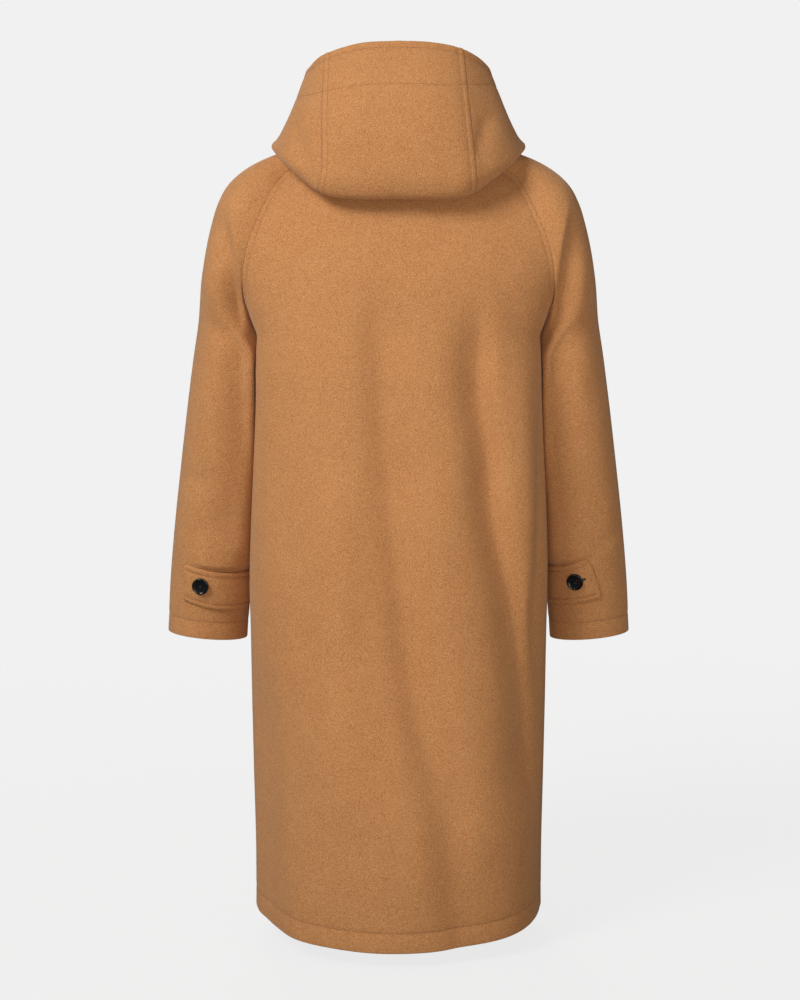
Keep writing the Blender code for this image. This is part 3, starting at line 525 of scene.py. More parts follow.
def ring_width(angle):
    """Share of the half-width that a ring reaches at an angle from the centre back."""
    return np.sin(angle) * (1 + RING_FULLNESS * np.cos(angle) ** 2)


def ring_depth(angle):
    return np.cos(angle) * (1 + RING_FULLNESS * np.sin(angle) ** 2)


RING_ANGLES = np.linspace(math.pi, 0.0, 361)
RING_DEPTHS = ring_depth(RING_ANGLES)


def angle_at(depth, back_y, front_y):
    """Angle from the centre back at which a ring passes a depth."""
    share = np.where(depth > 0, depth / back_y, depth / -front_y)
    return np.interp(share, RING_DEPTHS, RING_ANGLES)


def dent_at(depth, height):
    """How far the body gives way to the sleeve beside it."""
    away = (depth - column(BODY, "dent_y", height)) / DENT_DEPTH_SPREAD
    return np.maximum(column(BODY, "dent", height), 0.0) * np.exp(-(away**2))


def body_side(depth, height):
    """How far out the body reaches at a depth and height."""
    back_y = column(BODY, "back_y", height)
    front_y = column(BODY, "front_y", height)
    reach = column(BODY, "half_width", height) * ring_width(angle_at(depth, back_y, front_y))
    return reach - dent_at(depth, height)


def body_row(level, face):
    """One level of the back or front: the seam's point, the centre's height, and the ring it lies on."""
    if level <= UNDERARM:
        centre = "cb" if face == "back" else "cf"
        seam = yoke_point(face, level)
        middle_y = float(yoke(f"{centre}_y", level))
        middle_z = float(yoke(f"{centre}_z", level))
        back_y, front_y = (middle_y, -middle_y) if face == "back" else (-middle_y, middle_y)
        dent_height = min(float(seam[2]), -160.0)
    else:
        down = level - UNDERARM
        height = UNDERARM_HEIGHT + down * (HEM_SIDE - UNDERARM_HEIGHT)
        names = ("back_y", "front_y", "seam_y")
        back_y, front_y, seam_y = (float(column(BODY, name, height)) for name in names)
        seam = np.array([float(body_side(seam_y, height)), seam_y, height])
        hem = HEM_BACK if face == "back" else HEM_FRONT
        middle_z = UNDERARM_HEIGHT + down * (hem - UNDERARM_HEIGHT)
        dent_height = height
    seam_angle = float(angle_at(seam[1], back_y, front_y))
    reach = (seam[0] + float(dent_at(seam[1], dent_height))) / float(ring_width(seam_angle))
    return seam, seam_angle, middle_z, back_y, front_y, reach, dent_height


def body_face(face, level, across):
    """Outer face of the back or front at one level; across is -1 at the right seam, 1 at the left one."""
    seam, seam_angle, middle_z, back_y, front_y, reach, dent_height = body_row(level, face)
    part = np.abs(across)
    middle_angle = 0.0 if face == "back" else math.pi
    angle = middle_angle + (seam_angle - middle_angle) * part
    share = ring_depth(angle)
    depth = np.where(share > 0, share * back_y, share * -front_y)
    out = reach * ring_width(angle) - dent_at(depth, dent_height)
    out = np.where(part == 0, 0.0, out)
    height = middle_z + (seam[2] - middle_z) * part**2
    return np.stack([np.sign(across) * out, depth, height], axis=-1)


def fold_depth(face, points):
    """How deep the upright folds are at points of the back or front."""
    depth = np.zeros(points.shape[:-1])
    for left_spread, right_spread, route in FOLDS[face]:
        heights, places, sizes = zip(*route)
        centre = through(heights, places, points[..., 2])
        size = through(heights, sizes, points[..., 2])
        low, high = min(heights), max(heights)
        low_fade = 1.0 if low < HEM_SIDE - 1 else ease((points[..., 2] - low) / FOLD_FADE + 0.5)
        fade = ease((high - points[..., 2]) / FOLD_FADE + 0.2) * low_fade
        away = points[..., 0] - centre
        depth += size * fade * hump(away, np.where(away > 0, left_spread, right_spread))
    return depth


def crease_depth(piece, points, normals):
    """How deep the smaller creases of a piece are, by the distance from their routes seen from behind."""
    total = np.zeros(points.shape[:-1])
    seen = points[..., [0, 2]]
    found = [(face, *row) for (name, face), rows in CREASES.items() if piece.startswith(name) for row in rows]
    for face, depth, spread, route in found:
        facing = normals[..., 1] if face == "back" else -normals[..., 1]
        nearest = np.full(total.shape, np.inf)
        along = np.zeros(total.shape)
        corners = through(np.arange(len(route)), np.array(route, float), np.linspace(0, len(route) - 1, 13))
        for k, (start, end) in enumerate(zip(corners, corners[1:])):
            run = end - start
            part = np.clip((seen - start) @ run / (run @ run), 0, 1)
            away = np.linalg.norm(seen - start - part[..., None] * run, axis=-1)
            closer = away < nearest
            nearest = np.where(closer, away, nearest)
            along = np.where(closer, (k + part) / (len(corners) - 1), along)
        ends = np.sin(math.pi * np.clip(along, 0, 1)) ** CREASE_END_POWER
        total += depth * hump(nearest, spread) * ends * ease(facing * 4)
    return total


def sleeve_arc(level, turn):
    """Outer face of the left sleeve at a level: turn is 1 at the back seam, 0 on top and -1 in front."""
    if level <= UNDERARM:
        back, front, top = (yoke_point(name, level) for name in ("back", "front", "top"))
        limit = math.radians(float(yoke("turn", level)))
        half = (back - front) / 2
        middle = (back + front) / 2
        centre = (middle - top * math.cos(limit)) / (1 - math.cos(limit))
        near = ease((level - UNDERARM) / SIDE_LEVELS + 1)
        level_depth = float(column(SLEEVE, "half_depth", UNDERARM_HEIGHT)) * np.array([0.0, 1.0, 0.0])
        span = half / max(math.sin(limit), 0.2)
        depth = span + near * (level_depth - span)
        angle = turn * limit
        points = centre + np.outer(np.cos(angle), top - centre) + np.outer(np.sin(angle), depth)
        missing = half - math.sin(limit) * depth
        points += np.outer(np.sign(turn) * np.abs(turn) ** 4, missing)
    else:
        height = UNDERARM_HEIGHT + (level - UNDERARM) * (CUFF_HEIGHT - UNDERARM_HEIGHT)
        angle = turn * math.pi
        half_width = float(column(SLEEVE, "half_width", height))
        middle_x = float(column(SLEEVE, "outer_x", height)) - half_width
        out = middle_x + half_width * np.cos(angle)
        back = column(SLEEVE, "middle_y", height) + column(SLEEVE, "half_depth", height) * np.sin(angle)
        shift = UNDERARM_SHIFT * ease(1 + (height - UNDERARM_HEIGHT) / UNDERARM_SHIFT_RUN)
        back += shift * (1 - np.cos(angle)) / 2
        up = height + column(SLEEVE, "slope", height) * np.cos(angle)
        points = np.stack([out, back, up], axis=-1)
    return settle_sleeve(points, level, turn)


def settle_sleeve(points, level, turn):
    """Presses the armhole fold into the sleeve, and keeps the sleeve clear of the body beside it."""
    height = points[:, 2]
    outward = points[:, 0] - column(ARMHOLE_FOLD, "out", np.maximum(height, UNDERARM_HEIGHT))
    depth = np.maximum(column(ARMHOLE_FOLD, "depth", np.maximum(height, UNDERARM_HEIGHT)), 0.0)
    depth = depth * ease((height - CUFF_HEIGHT) / (UNDERARM_HEIGHT - CUFF_HEIGHT) * 2 - 1)
    press = ease(outward / ARMHOLE_FOLD_EDGE + 0.5) * (1 - ease(outward / ARMHOLE_FOLD_REACH - 0.2))
    at_back = ease((points[:, 1] - FOLD_BEHIND) / FOLD_BEHIND_RUN)
    held = ease((1 - np.abs(turn)) / PRESS_HOLD) if level <= UNDERARM else 1.0
    points[:, 1] -= ARMHOLE_FOLD_DEEPER * depth * press * at_back * held
    across = points[:, 0] - points[:, 0].min()
    full = ease((UNDERARM_HEIGHT - height) / SWELL_RUN) * ease((height - SWELL_LOW) / SWELL_RUN)
    beyond = points[:, 0].max() - points[:, 0]
    swell = SWELL * hump(across - SWELL_IN, SWELL_SPREAD)
    swell += SWELL_OUTER * hump(beyond - SWELL_IN, SWELL_SPREAD)
    low, high = points[:, 1].min(), points[:, 1].max()
    rear = ease((points[:, 1] - (low + high) / 2) / max(high - low, 1.0) * SWELL_REAR)
    points[:, 1] += swell * full * rear
    if level < UNDERARM - SIDE_LEVELS:
        return points
    if level <= UNDERARM:
        beside = panel_side(level, points[:, 1])
    else:
        beside = body_side(points[:, 1], height)
        held = ease((UNDERARM_HEIGHT - height) / SLEEVE_PART_RUN + 0.3)
    short = beside + SLEEVE_CLEARANCE * held - points[:, 0]
    inner_half = np.abs(turn) > 0.5
    points[:, 0] += np.where(inner_half & (short > 0), short, 0.0)
    return points


def panel_side(level, depth):
    """How far out the back and front reach at one level, at depths behind and before the sleeve's seams."""
    reaches = []
    for face in ("back", "front"):
        seam, _, _, back_y, front_y, reach, dent_height = body_row(level, face)
        side = reach * ring_width(angle_at(depth, back_y, front_y)) - dent_at(depth, dent_height)
        beyond = depth > seam[1] if face == "back" else depth < seam[1]
        reaches.append(np.where(beyond, side, 0.0))
    return np.maximum(*reaches)


def mirrored(grid):
    """The same points on the wearer's right."""
    return grid * SIDES["right"]


def puff_over_tab(side, points, turns):
    """How far the sleeve stands out above its tab."""
    tab = TABS[side]
    degrees = turns * 180
    root, end = tab["turn"][0], tab["turn"][-1]
    part = np.clip((root - degrees) / (root - end), 0, 1)
    upper_edge = column(tab, "height", part, "part") + column(tab, "half_width", part, "part")
    above = points[..., 2] - upper_edge - PUFF_START
    window = ease((degrees - end) / PUFF_SIDE) * ease((root - degrees) / PUFF_SIDE + 1.2)
    return PUFF * ease(above / PUFF_RISE) * np.exp(-np.maximum(above, 0) / PUFF_RUN) * window


def run_along(points):
    """Distance along a row of points from its first one."""
    steps = np.linalg.norm(np.diff(points, axis=0), axis=1)
    return np.concatenate([[0.0], np.cumsum(steps)])


def edge_distances(grid):
    """Distances of a grid's points from its first and last column, and from its top and bottom row."""
    found = []
    for lines in (grid, np.swapaxes(grid, 0, 1)):
        first = np.pad(np.cumsum(np.linalg.norm(np.diff(lines, axis=1), axis=2), axis=1), ((0, 0), (1, 0)))
        found += [first, first[:, -1:] - first]
    return found[0], found[1], found[2].T, found[3].T


def grid_normals(grid, towards=(0, 0, 0)):
    """Unit normals of a grid of points, on the side that a direction points to."""
    normals = unit(np.cross(np.gradient(grid, axis=0), np.gradient(grid, axis=1)))
    return -normals if np.sum(normals * towards) < 0 else normals


def edge_marks(*stitches):
    """Distances from an edge at which lines of the mesh run: close to it and beside its stitches."""
    return np.unique([*SEAM_MARKS, *(stitch + mark for stitch in stitches for mark in STITCH_MARKS)])


def placed(shape, places, first_marks, last_marks, between):
    """Places along the line that shape gives: at set distances from its ends, and evenly between."""
    run = run_along(shape(places))
    first = np.minimum(first_marks, run[-1] * MARKS_REACH)
    last = run[-1] - np.minimum(last_marks, run[-1] * MARKS_REACH)[::-1]
    middle = np.linspace(first[-1], last[0], between + 2)[1:-1]
    return np.interp(np.concatenate([first, middle, last]), run, places)


def levels_with(length_below, rows_below, marks):
    """Levels from the neck to the hem or cuff, closer together beside its stitches."""
    lower = UNDERARM + 1 - marks[::-1] / length_below
    middle = np.linspace(UNDERARM, lower[0], rows_below + 2)[1:-1]
    return np.concatenate([np.linspace(0, UNDERARM, UPPER_ROWS + 1), middle, lower])


def groove(distance, place, along, seed):
    """How deep stitches at a place from an edge pull the cloth in, a little unevenly along the line."""
    uneven = 1 + GROOVE_UNEVEN * wander(along, seed)
    return sum(deep * hump(distance - place, spread) * uneven for deep, spread in GROOVE)


def small_press(to_edge, place, along, seed, press):
    """How deep the stitches and the turned edge of a small piece sink it, a depth that also gives painted
    shade.
    """
    share, depth, reach = press
    return groove(to_edge, place, along, seed) * share + depth * np.exp(-to_edge / reach)


def seam_valley(distance):
    """The cloth turns in where it is sewn to its neighbour."""
    return VALLEY * hump(distance, VALLEY_SPREAD)


def new_piece(name, points, faces):
    """A smooth object from points in millimetres."""
    mesh = bpy.data.meshes.new(name)
    mesh.from_pydata((np.array(points) * MM).tolist(), [], faces)
    mesh.shade_smooth()
    piece = bpy.data.objects.new(name, mesh)
    bpy.context.collection.objects.link(piece)
    return piece


def finished(piece, look, node=None):
    """Gives a piece its material, and says what it rides on and which node it stands for."""
    piece.data.materials.append(material(look))
    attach(piece, "root")
    if node:
        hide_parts(node)
    return piece


def wall_mesh(name, outer, inner, groove_depth_and_shade, free, joined_from=None):
    """A closed sheet of cloth between two grids of points, with its free edges rounded.

    From row joined_from on, its last column is its first. The map named cloth runs in metres along the rows
    and columns, and a float attribute holds how deep stitches or a seam sink the cloth, for the wool's
    painted shade in grooves and painted light on raised welts. Each corner of a face has two numbers:
    its point's and its place's in the map.
    """
    rows, columns = outer.shape[:2]
    count = rows * columns
    middle = slice(columns // 2, columns // 2 + 1)
    first, _, down, _ = edge_distances(outer)
    down = np.broadcast_to(down[:, middle], first.shape)
    chart = np.stack([first - first[:, middle], down], axis=-1) * MM
    corner = np.stack([np.arange(count).reshape(rows, columns)] * 2, axis=-1)
    if joined_from is not None:
        corner[joined_from:, -1, 0] = corner[joined_from:, 0, 0]
    points = [outer.reshape(-1, 3), inner.reshape(-1, 3)]
    charts = [chart.reshape(-1, 2)] * 2
    shades = [groove_depth_and_shade.reshape(-1), np.zeros(count)]
    quads = np.stack([corner[:-1, :-1], corner[:-1, 1:], corner[1:, 1:], corner[1:, :-1]], axis=2)
    quads = quads.reshape(-1, 4, 2)
    faces = [quads, quads[:, ::-1] + count]
    edges = {
        "top": (corner[0], outer[0] - outer[1]),
        "bottom": (corner[-1][::-1], (outer[-1] - outer[-2])[::-1]),
        "first": (corner[:, 0][::-1], (outer[:, 0] - outer[:, 1])[::-1]),
        "last": (corner[:, -1], outer[:, -1] - outer[:, -2]),
    }
    if joined_from is not None:
        edges["first"] = [line[-joined_from - 1 :] for line in edges["first"]]
        edges["last"] = [line[: joined_from + 1] for line in edges["last"]]
    total = 2 * count
    for side, (line, away) in edges.items():
        rings = [line]
        if side in free:
            upper, lower = (face[line[:, 0]] for face in points[:2])
            half = (upper - lower) / 2
            reach = unit(without(away, half)) * np.linalg.norm(half, axis=1, keepdims=True)
            for angle in EDGE_ANGLES:
                points.append((upper + lower) / 2 + reach * math.cos(angle) + half * math.sin(angle))
                charts.append(charts[0][line[:, 1]])
                shades.append(np.zeros(len(line)))
                rings.append(np.stack([np.arange(total, total + len(line))] * 2, axis=1))
                total += len(line)
                if joined_from is not None and side == "bottom":
                    rings[-1][-1, 0] = rings[-1][0, 0]
        rings.append(line + count)
        for near, far in zip(rings, rings[1:]):
            faces.append(np.stack([near[1:], near[:-1], far[:-1], far[1:]], axis=1))
    faces = np.concatenate(faces)
    points = np.concatenate(points)
    a, b, c, d = (points[faces[:, k, 0]] for k in range(4))
    if np.sum(a * np.cross(b, c)) + np.sum(a * np.cross(c, d)) < 0:
        faces = faces[:, ::-1]
    used, numbers = np.unique(faces[..., 0], return_inverse=True)
    piece = new_piece(name, points[used], numbers.reshape(-1, 4).tolist())
    layer = piece.data.uv_layers.new(name="cloth")
    layer.data.foreach_set("uv", np.concatenate(charts)[faces[..., 1]].astype(np.float32).ravel())
    # The groove depth, kept for the wool's painted shade in grooves and painted light on raised welts
    mark = piece.data.attributes.new("groove_depth_and_shade", "FLOAT", "POINT")
    mark.data.foreach_set("value", np.concatenate(shades)[used].astype(np.float32))
    return piece


def tube_faces(rings, sides, base=0):
    """Outward faces of a closed tube, from rings of points numbered from a base."""
    faces = []
    for start in range(base, base + (rings - 1) * sides, sides):
        for side in range(sides):
            near = start + (side + 1) % sides
            faces.append((start + side, near, near + sides, start + side + sides))
    end = base + rings * sides
    return faces + [tuple(range(base + sides - 1, base - 1, -1)), tuple(range(end - sides, end))]


def stitch_mesh(name, runs, length, gap, radius):
    """Small rounded stitches along runs of points with their normals, each a little askew."""
    verts = []
    faces = []
    for seed, (line, normals) in enumerate(runs):
        along = run_along(line)
        count = max(int(along[-1] // (length + gap)), 1)
        places = (np.arange(count) + 0.5) * along[-1] / count
        centre, facing, ahead, behind = (
            np.stack([np.interp(places + shift, along, values[:, k]) for k in range(3)], axis=1)
            for values, shift in ((line, 0), (normals, 0), (line, length / 2), (line, -length / 2))
        )
        facing = unit(facing)
        forward = unit(without(ahead - behind, facing))
        askew = STITCH_ASKEW * wander(places * STITCH_WANDER, seed)
        forward = unit(forward + np.cross(facing, forward) * askew[:, None])
        beside = np.cross(facing, forward)
        for k in range(count):
            faces += tube_faces(len(STITCH_SHAPE), STITCH_SIDES, len(verts))
            for part, width, lift in STITCH_SHAPE:
                middle = centre[k] + forward[k] * part * length + facing[k] * radius * lift
                for angle in math.tau * np.arange(STITCH_SIDES) / STITCH_SIDES:
                    out = beside[k] * math.cos(angle) + facing[k] * math.sin(angle)
                    verts.append(middle + out * radius * width)
    return new_piece(name, verts, faces)


def stitches(name, runs, length=3.3, gap=0.9, radius=0.36):
    """A row or more of thread in the cloth's own colour."""
    return finished(stitch_mesh(name, runs, length, gap, radius), camel_thread)


def tube_mesh(name, route, radius, strands, lay, rise, sides=24, spacing=0.8):
    """A twisted cord along a route: strands laid round each other with a full turn in each lay's length."""
    along = run_along(route)
    knots = np.linspace(0, along[-1], int(along[-1] / spacing) + 1)
    line = through(along, route, knots)
    forward = unit(np.gradient(line, axis=0))
    beside = np.array([0.0, 0.0, 1.0] if abs(forward[0][2]) < 0.9 else [1.0, 0.0, 0.0])
    beside = unit(without(beside, forward[0]))
    angle = math.tau * np.arange(sides) / sides
    rings = []
    for place, centre, ahead in zip(knots, line, forward):
        beside = unit(without(beside, ahead))
        lobes = radius * (1 - rise + rise * np.abs(np.cos((angle - math.tau * place / lay) * strands / 2)))
        end = min(place, along[-1] - place) / radius
        lobes = lobes * math.sqrt(max(1 - (1 - min(end, 1.0)) ** 2, CORD_TIP))
        ring = centre + np.outer(lobes * np.cos(angle), beside)
        rings.append(ring + np.outer(lobes * np.sin(angle), np.cross(ahead, beside)))
    return new_piece(name, np.concatenate(rings), tube_faces(len(knots), sides))


def meet(first, first_edge, second, second_edge, rows):
    """A seam between two panels, each a grid and its normals: each one's edge, drawn back, with its normals.

    They share their normals where they join flat, and keep their own where they fold back on each other.
    """
    lines, facings, aways = [], [], []
    for (grid, normals), edge in ((first, first_edge), (second, second_edge)):
        lines.append(grid[rows, edge])
        facings.append(normals[rows, edge])
        aways.append(unit(grid[rows, 1 if edge == 0 else -2] - grid[rows, edge]))
    run = unit(np.gradient(lines[0], axis=0))
    middle = without(sum(facings) + sum(aways), run)
    drawn = unit(without(without(aways[0] - aways[1], run), middle)) * SEAM_SLIT / 2
    common = unit(sum(facings))
    shared = ease((np.sum(facings[0] * facings[1], axis=-1, keepdims=True) + 0.2) / 0.8)
    own = [unit(facing + shared * (common - facing)) for facing in facings]
    return (lines[0] + drawn, own[0]), (lines[1] - drawn, own[1])


def ease_bend(grid):
    """Rounds off the bend across a panel where its shaped top meets its straight lower part."""
    near = hump(np.arange(len(grid)) - UPPER_ROWS, BEND_ROWS)[:, None, None]
    across = np.linspace(0, 1, grid.shape[1])
    free = (ease(across / BEND_HOLD) * ease((1 - across) / BEND_HOLD))[None, :, None]
    wide = np.pad(grid, ((BEND_ROWS, BEND_ROWS), (0, 0), (0, 0)), mode="edge")
    soft = sum(wide[k : k + len(grid)] for k in range(2 * BEND_ROWS + 1)) / (2 * BEND_ROWS + 1)
    return grid + near * free * (soft - grid)


def cut_panel(shape, levels, spans, first_marks, last_marks, between):
    """Outer grid of a panel from the shape of its levels, and how far across or round each point is."""
    places = []
    for level, span in zip(levels, spans):
        places.append(placed(partial(shape, level), span, first_marks, last_marks, between))
    return ease_bend(np.array([shape(*row) for row in zip(levels, places)])), np.array(places)


def across_at(level, out):
    """How far across the front lies a distance out from the centre front."""
    across = np.linspace(0, 1, 60)
    return float(np.interp(out, body_face("front", level, across)[:, 0], across))


def sleeve_normals(grid):
    """Normals of a sleeve's grid, smooth across the line where its rings close."""
    normals = grid_normals(grid)
    around = np.concatenate([grid[:, -2:-1], grid, grid[:, 1:2]], axis=1)
    normals[UPPER_ROWS:] = grid_normals(around)[UPPER_ROWS:, 1:-1]
    return -normals if np.sum(normals[:, grid.shape[1] // 2, 0]) < 0 else normals


def flatten_seam(panel, towards, sleeve, edge):
    """Raises a panel and the sleeve's edge beside their seam, so that they join flat, not in a valley."""
    rows = np.arange(UPPER_ROWS + 1)
    line = panel[rows, -1]
    facing = unit(grid_normals(panel, towards)[rows, -1] + sleeve_normals(sleeve)[rows, edge])
    inner = SEAM_LOOK if edge == 0 else -1 - SEAM_LOOK
    slope = np.sum(unit(panel[rows, -1 - SEAM_LOOK] - line) * facing, axis=1)
    slope = (slope + np.sum(unit(sleeve[rows, inner] - line) * facing, axis=1)) / 2
    fade = ease(rows / SEAM_FADES[0]) * ease((SEAM_FADE_FROM * len(rows) - rows) / SEAM_FADES[1])
    lift = np.clip(slope * SEAM_EASE, SEAM_SINK, SEAM_LIFT) * fade
    lift = np.convolve(np.pad(lift, SEAM_LOOK, mode="edge"), np.ones(2 * SEAM_LOOK + 1), mode="valid")
    lift = lift[:, None] / (2 * SEAM_LOOK + 1)
    first, last = edge_distances(panel)[:2]
    raised = [(panel, last, facing), (sleeve, edge_distances(sleeve)[abs(edge)], facing)]
    if towards == TO_BACK:
        raised.append((panel, first, mirrored(facing)))
    for grid, away, way in raised:
        grid[rows] += (lift * np.exp(-away[rows] / SEAM_EASE))[..., None] * way[:, None]


@cache
def panels():
    """The back, the left front and the left sleeve: outer grid, normals, and places across or round."""
    levels = levels_with(UNDERARM_HEIGHT - HEM_SIDE, BODY_ROWS_BELOW, edge_marks(HEM_STITCH))
    down = levels_with(UNDERARM_HEIGHT - CUFF_HEIGHT, SLEEVE_ROWS_BELOW, edge_marks(CUFF_STITCH))
    sewn, edge, plain = edge_marks(SEAM_STITCH), edge_marks(EDGE_STITCH), edge_marks()
    whole = [np.linspace(-1, 1, BODY_SAMPLES)] * len(levels)
    lapped = [np.linspace(-across_at(level, OVERLAP), 1, BODY_SAMPLES) for level in levels]
    turns = [np.linspace(1, -1, SLEEVE_SAMPLES)] * len(down)
    back, back_places = cut_panel(partial(body_face, "back"), levels, whole, sewn, sewn, BACK_COLUMNS)
    front, front_places = cut_panel(partial(body_face, "front"), levels, lapped, edge, sewn, FRONT_COLUMNS)
    sleeve, sleeve_places = cut_panel(sleeve_arc, down, turns, plain, plain, SLEEVE_COLUMNS)
    flatten_seam(back, TO_BACK, sleeve, 0)
    flatten_seam(front, TO_FRONT, sleeve, -1)
    back = (back, grid_normals(back, TO_BACK))
    front = (front, grid_normals(front, TO_FRONT))
    sleeve = (sleeve, sleeve_normals(sleeve))
    top, below = slice(0, UPPER_ROWS + 1), slice(UPPER_ROWS, None)
    back_edge, sleeve_back = meet(back, -1, sleeve, 0, top)
    front_edge, sleeve_front = meet(front, -1, sleeve, -1, top)
    back_side, front_side = meet(back, -1, front, -1, below)
    for k in (0, 1):
        back[k][:, -1] = np.concatenate([back_edge[k][:-1], back_side[k]])
        back[k][:, 0] = mirrored(back[k][:, -1])
        front[k][:, -1] = np.concatenate([front_edge[k][:-1], front_side[k]])
        sleeve[k][:UPPER_ROWS, 0] = sleeve_back[k][:-1]
        sleeve[k][:UPPER_ROWS, -1] = sleeve_front[k][:-1]
    sleeve[0][UPPER_ROWS, [0, -1]] = yoke_point("back", UNDERARM) + (SEAM_GAP, 0, 0)
    return {
        "back": (*back, back_places),
        "front": (*front, front_places),
        "sleeve": (*sleeve, sleeve_places),
    }


@cache
def fronts():
    """Outer grids and normals of the left and right fronts with their folds."""
    front, normals, places = panels()["front"]
    made = []
    for side, turn in SIDES.items():
        base, facing = front * turn, normals * turn
        shape = base - facing * folds_of("front", base, facing, places)
        if side == "right":
            beyond = ease((shape[..., 0] + OVERLAP + OVERLAP_STEP) / OVERLAP_STEP)
            shape = shape - facing * (beyond * OVERLAP_INSET)[..., None]
        made.append((shape, facing))
    return made


def folds_of(face, base, facing, places):
    """Depth of the folds and creases of the back or a front, held back at its seams."""
    soft = fold_depth(face, base) + crease_depth(face, base, facing)
    return (soft * ease((1 - np.abs(places)) * FOLD_SEAM_FADE))[..., None]


def cloth_piece(node, outer, normals, groove_depth_and_shade, free, inner=None, joined_from=None):
    """Makes a piece of wool from its outer grid, and says what it stands for."""
    if inner is None:
        inner = outer - bpy.context.scene.coat_cloth.thickness / MM * normals
    # The groove depth sinks the cloth here, and in the material it also gives painted shade
    shaped = outer - normals * groove_depth_and_shade[..., None]
    piece = wall_mesh(f"wool_{node}", shaped, inner, groove_depth_and_shade, free, joined_from)
    finished(piece, brushed_camel_melton, node)
    return shaped


def row_run(grid, normals, up, distance):
    """The row of a grid that lies at a distance from its last one, as a run for stitches."""
    row = int(np.argmin(np.abs(np.median(up, axis=1) - distance)))
    return grid[row], normals[row]


def column_run(grid, normals, away, distance, rows=None):
    """The point of each row, or of the first rows, nearest to a distance, as a run for stitches."""
    spot = np.argmin(np.abs(away - distance), axis=1)[:rows]
    return grid[np.arange(len(spot)), spot], normals[np.arange(len(spot)), spot]


class Nodes:
    """Adds and joins the nodes of one material."""

    def __init__(self, name):
        self.material = bpy.data.materials.new(name)
        self.material.use_nodes = True
        self.tree = self.material.node_tree
        self.shader = self.tree.nodes["Principled BSDF"]
        self.place = self.add("ShaderNodeTexCoord").outputs["Object"]

    def add(self, kind, inputs=(), **values):
        """A node of a kind, with its settings, and its sockets' values or the outputs they are joined to."""
        node = self.tree.nodes.new(kind)
        for name, value in values.items():
            setattr(node, name, value)
        for name, value in dict(inputs).items():
            self.fill(node.inputs[name], value)
        return node

    def fill(self, socket, value):
        if isinstance(value, bpy.types.NodeSocket):
            self.tree.links.new(value, socket)
        else:
            socket.default_value = value

    def set(self, **values):
        for name, value in values.items():
            self.fill(self.shader.inputs[name.replace("_", " ")], value)

    def noise(self, scale, detail=2.0, roughness=0.5, distortion=0.0, place=None):
        values = {"Scale": scale, "Detail": detail, "Roughness": roughness, "Distortion": distortion}
        return self.add("ShaderNodeTexNoise", {**values, "Vector": place or self.place}).outputs["Fac"]

    def mapped(self, turn, scale, place=None):
        values = {"Rotation": turn, "Scale": scale, "Vector": place or self.place}
        return self.add("ShaderNodeMapping", values).outputs["Vector"]

    def sums(self, start, *terms):
        """start plus each source, about its middle of a half, times its weight."""
        total = start - sum(weight for _, weight in terms) / 2
        for source, weight in terms:
            step = self.add("ShaderNodeMath", {0: source, 1: weight, 2: total}, operation="MULTIPLY_ADD")
            total = step.outputs[0]
        return total

    def tones(self, colour, amount, share):
        """From a darker, redder tone of a colour to a lighter, yellower one."""
        values = {0: share}
        for socket, way in ((6, -amount), (7, amount)):
            values[socket] = (*(part * (1 + way * (0.8 + 0.35 * k)) for k, part in enumerate(colour)), 1.0)
        return self.add("ShaderNodeMix", values, data_type="RGBA", clamp_factor=True).outputs[2]

    def span(self, source, low, high):
        values = {"Value": source, "To Min": low, "To Max": high}
        return self.add("ShaderNodeMapRange", values).outputs["Result"]

    def bump(self, height, strength, distance):
        values = {"Strength": strength, "Distance": distance, "Height": height}
        self.set(Normal=self.add("ShaderNodeBump", values).outputs["Normal"])


def material(look):
    """The material that a look makes, named after it and made once."""
    name = look.__name__
    if name not in bpy.data.materials:
        look(Nodes(name))
    return bpy.data.materials[name]


def brushed_camel_melton(made):
    """Heathered fibres over a faint twill and a soft nap, with painted shade in the grooves of seams and
    stitches and painted light on raised welts.
    """
    cloth = bpy.context.scene.coat_cloth
    slow = made.noise(5.0)
    clouds = made.noise(34.0, 3.0, 0.55, 0.4)
    mottle = made.noise(190.0, 2.0, 0.6)
    flecks = made.noise(800.0, 2.0, 0.75)
    fibres = made.noise(1500.0, 2.0, 0.6)
    chart = made.add("ShaderNodeUVMap", uv_map="cloth").outputs["UV"]
    twill = made.noise(1.0, 2.0, 0.6, place=made.mapped((0, 0, math.radians(32)), (110, 520, 1), chart))
    groove_depth_and_shade = made.add("ShaderNodeAttribute", attribute_name="groove_depth_and_shade").outputs["Fac"]
    # Painted shade in seam and stitch grooves, from their depth. Where there is no groove, this attribute is
    # 0 and not a half, so the start is lower by half its weight
    broad = (slow, 0.3), (clouds, 0.26), (mottle, 0.2)
    tone = made.sums(0.45, *broad, (flecks, 3.6), (fibres, 1.0), (twill, 0.4), (groove_depth_and_shade, -0.1))
    colour = made.tones(cloth.wool_colour, cloth.heather, tone)
    made.set(Base_Color=colour, Roughness=made.span(flecks, 0.84, 1.0))
    made.bump(made.sums(0.5, (mottle, 0.55), (flecks, 0.8), (fibres, 0.35), (twill, 0.4)), cloth.nap, 0.0012)
    made.set(Sheen_Weight=0.22, Sheen_Roughness=0.45, Sheen_Tint=(1.0, 0.86, 0.68, 1.0))
    made.set(Specular_IOR_Level=0.18)


def camel_thread(made):
    """Sewing thread a shade darker than the wool, with a twisted grain."""
    grain = made.noise(2600.0, 2.0, 0.6)
    tone = made.sums(0.5, (grain, 0.9), (made.noise(120.0), 0.5))
    colour = made.tones(bpy.context.scene.coat_cloth.thread_colour, 0.22, tone)
    made.set(Base_Color=colour, Roughness=made.span(grain, 0.55, 0.8), Sheen_Weight=0.1, Sheen_Roughness=0.4)
    made.bump(grain, 0.4, 0.0002)


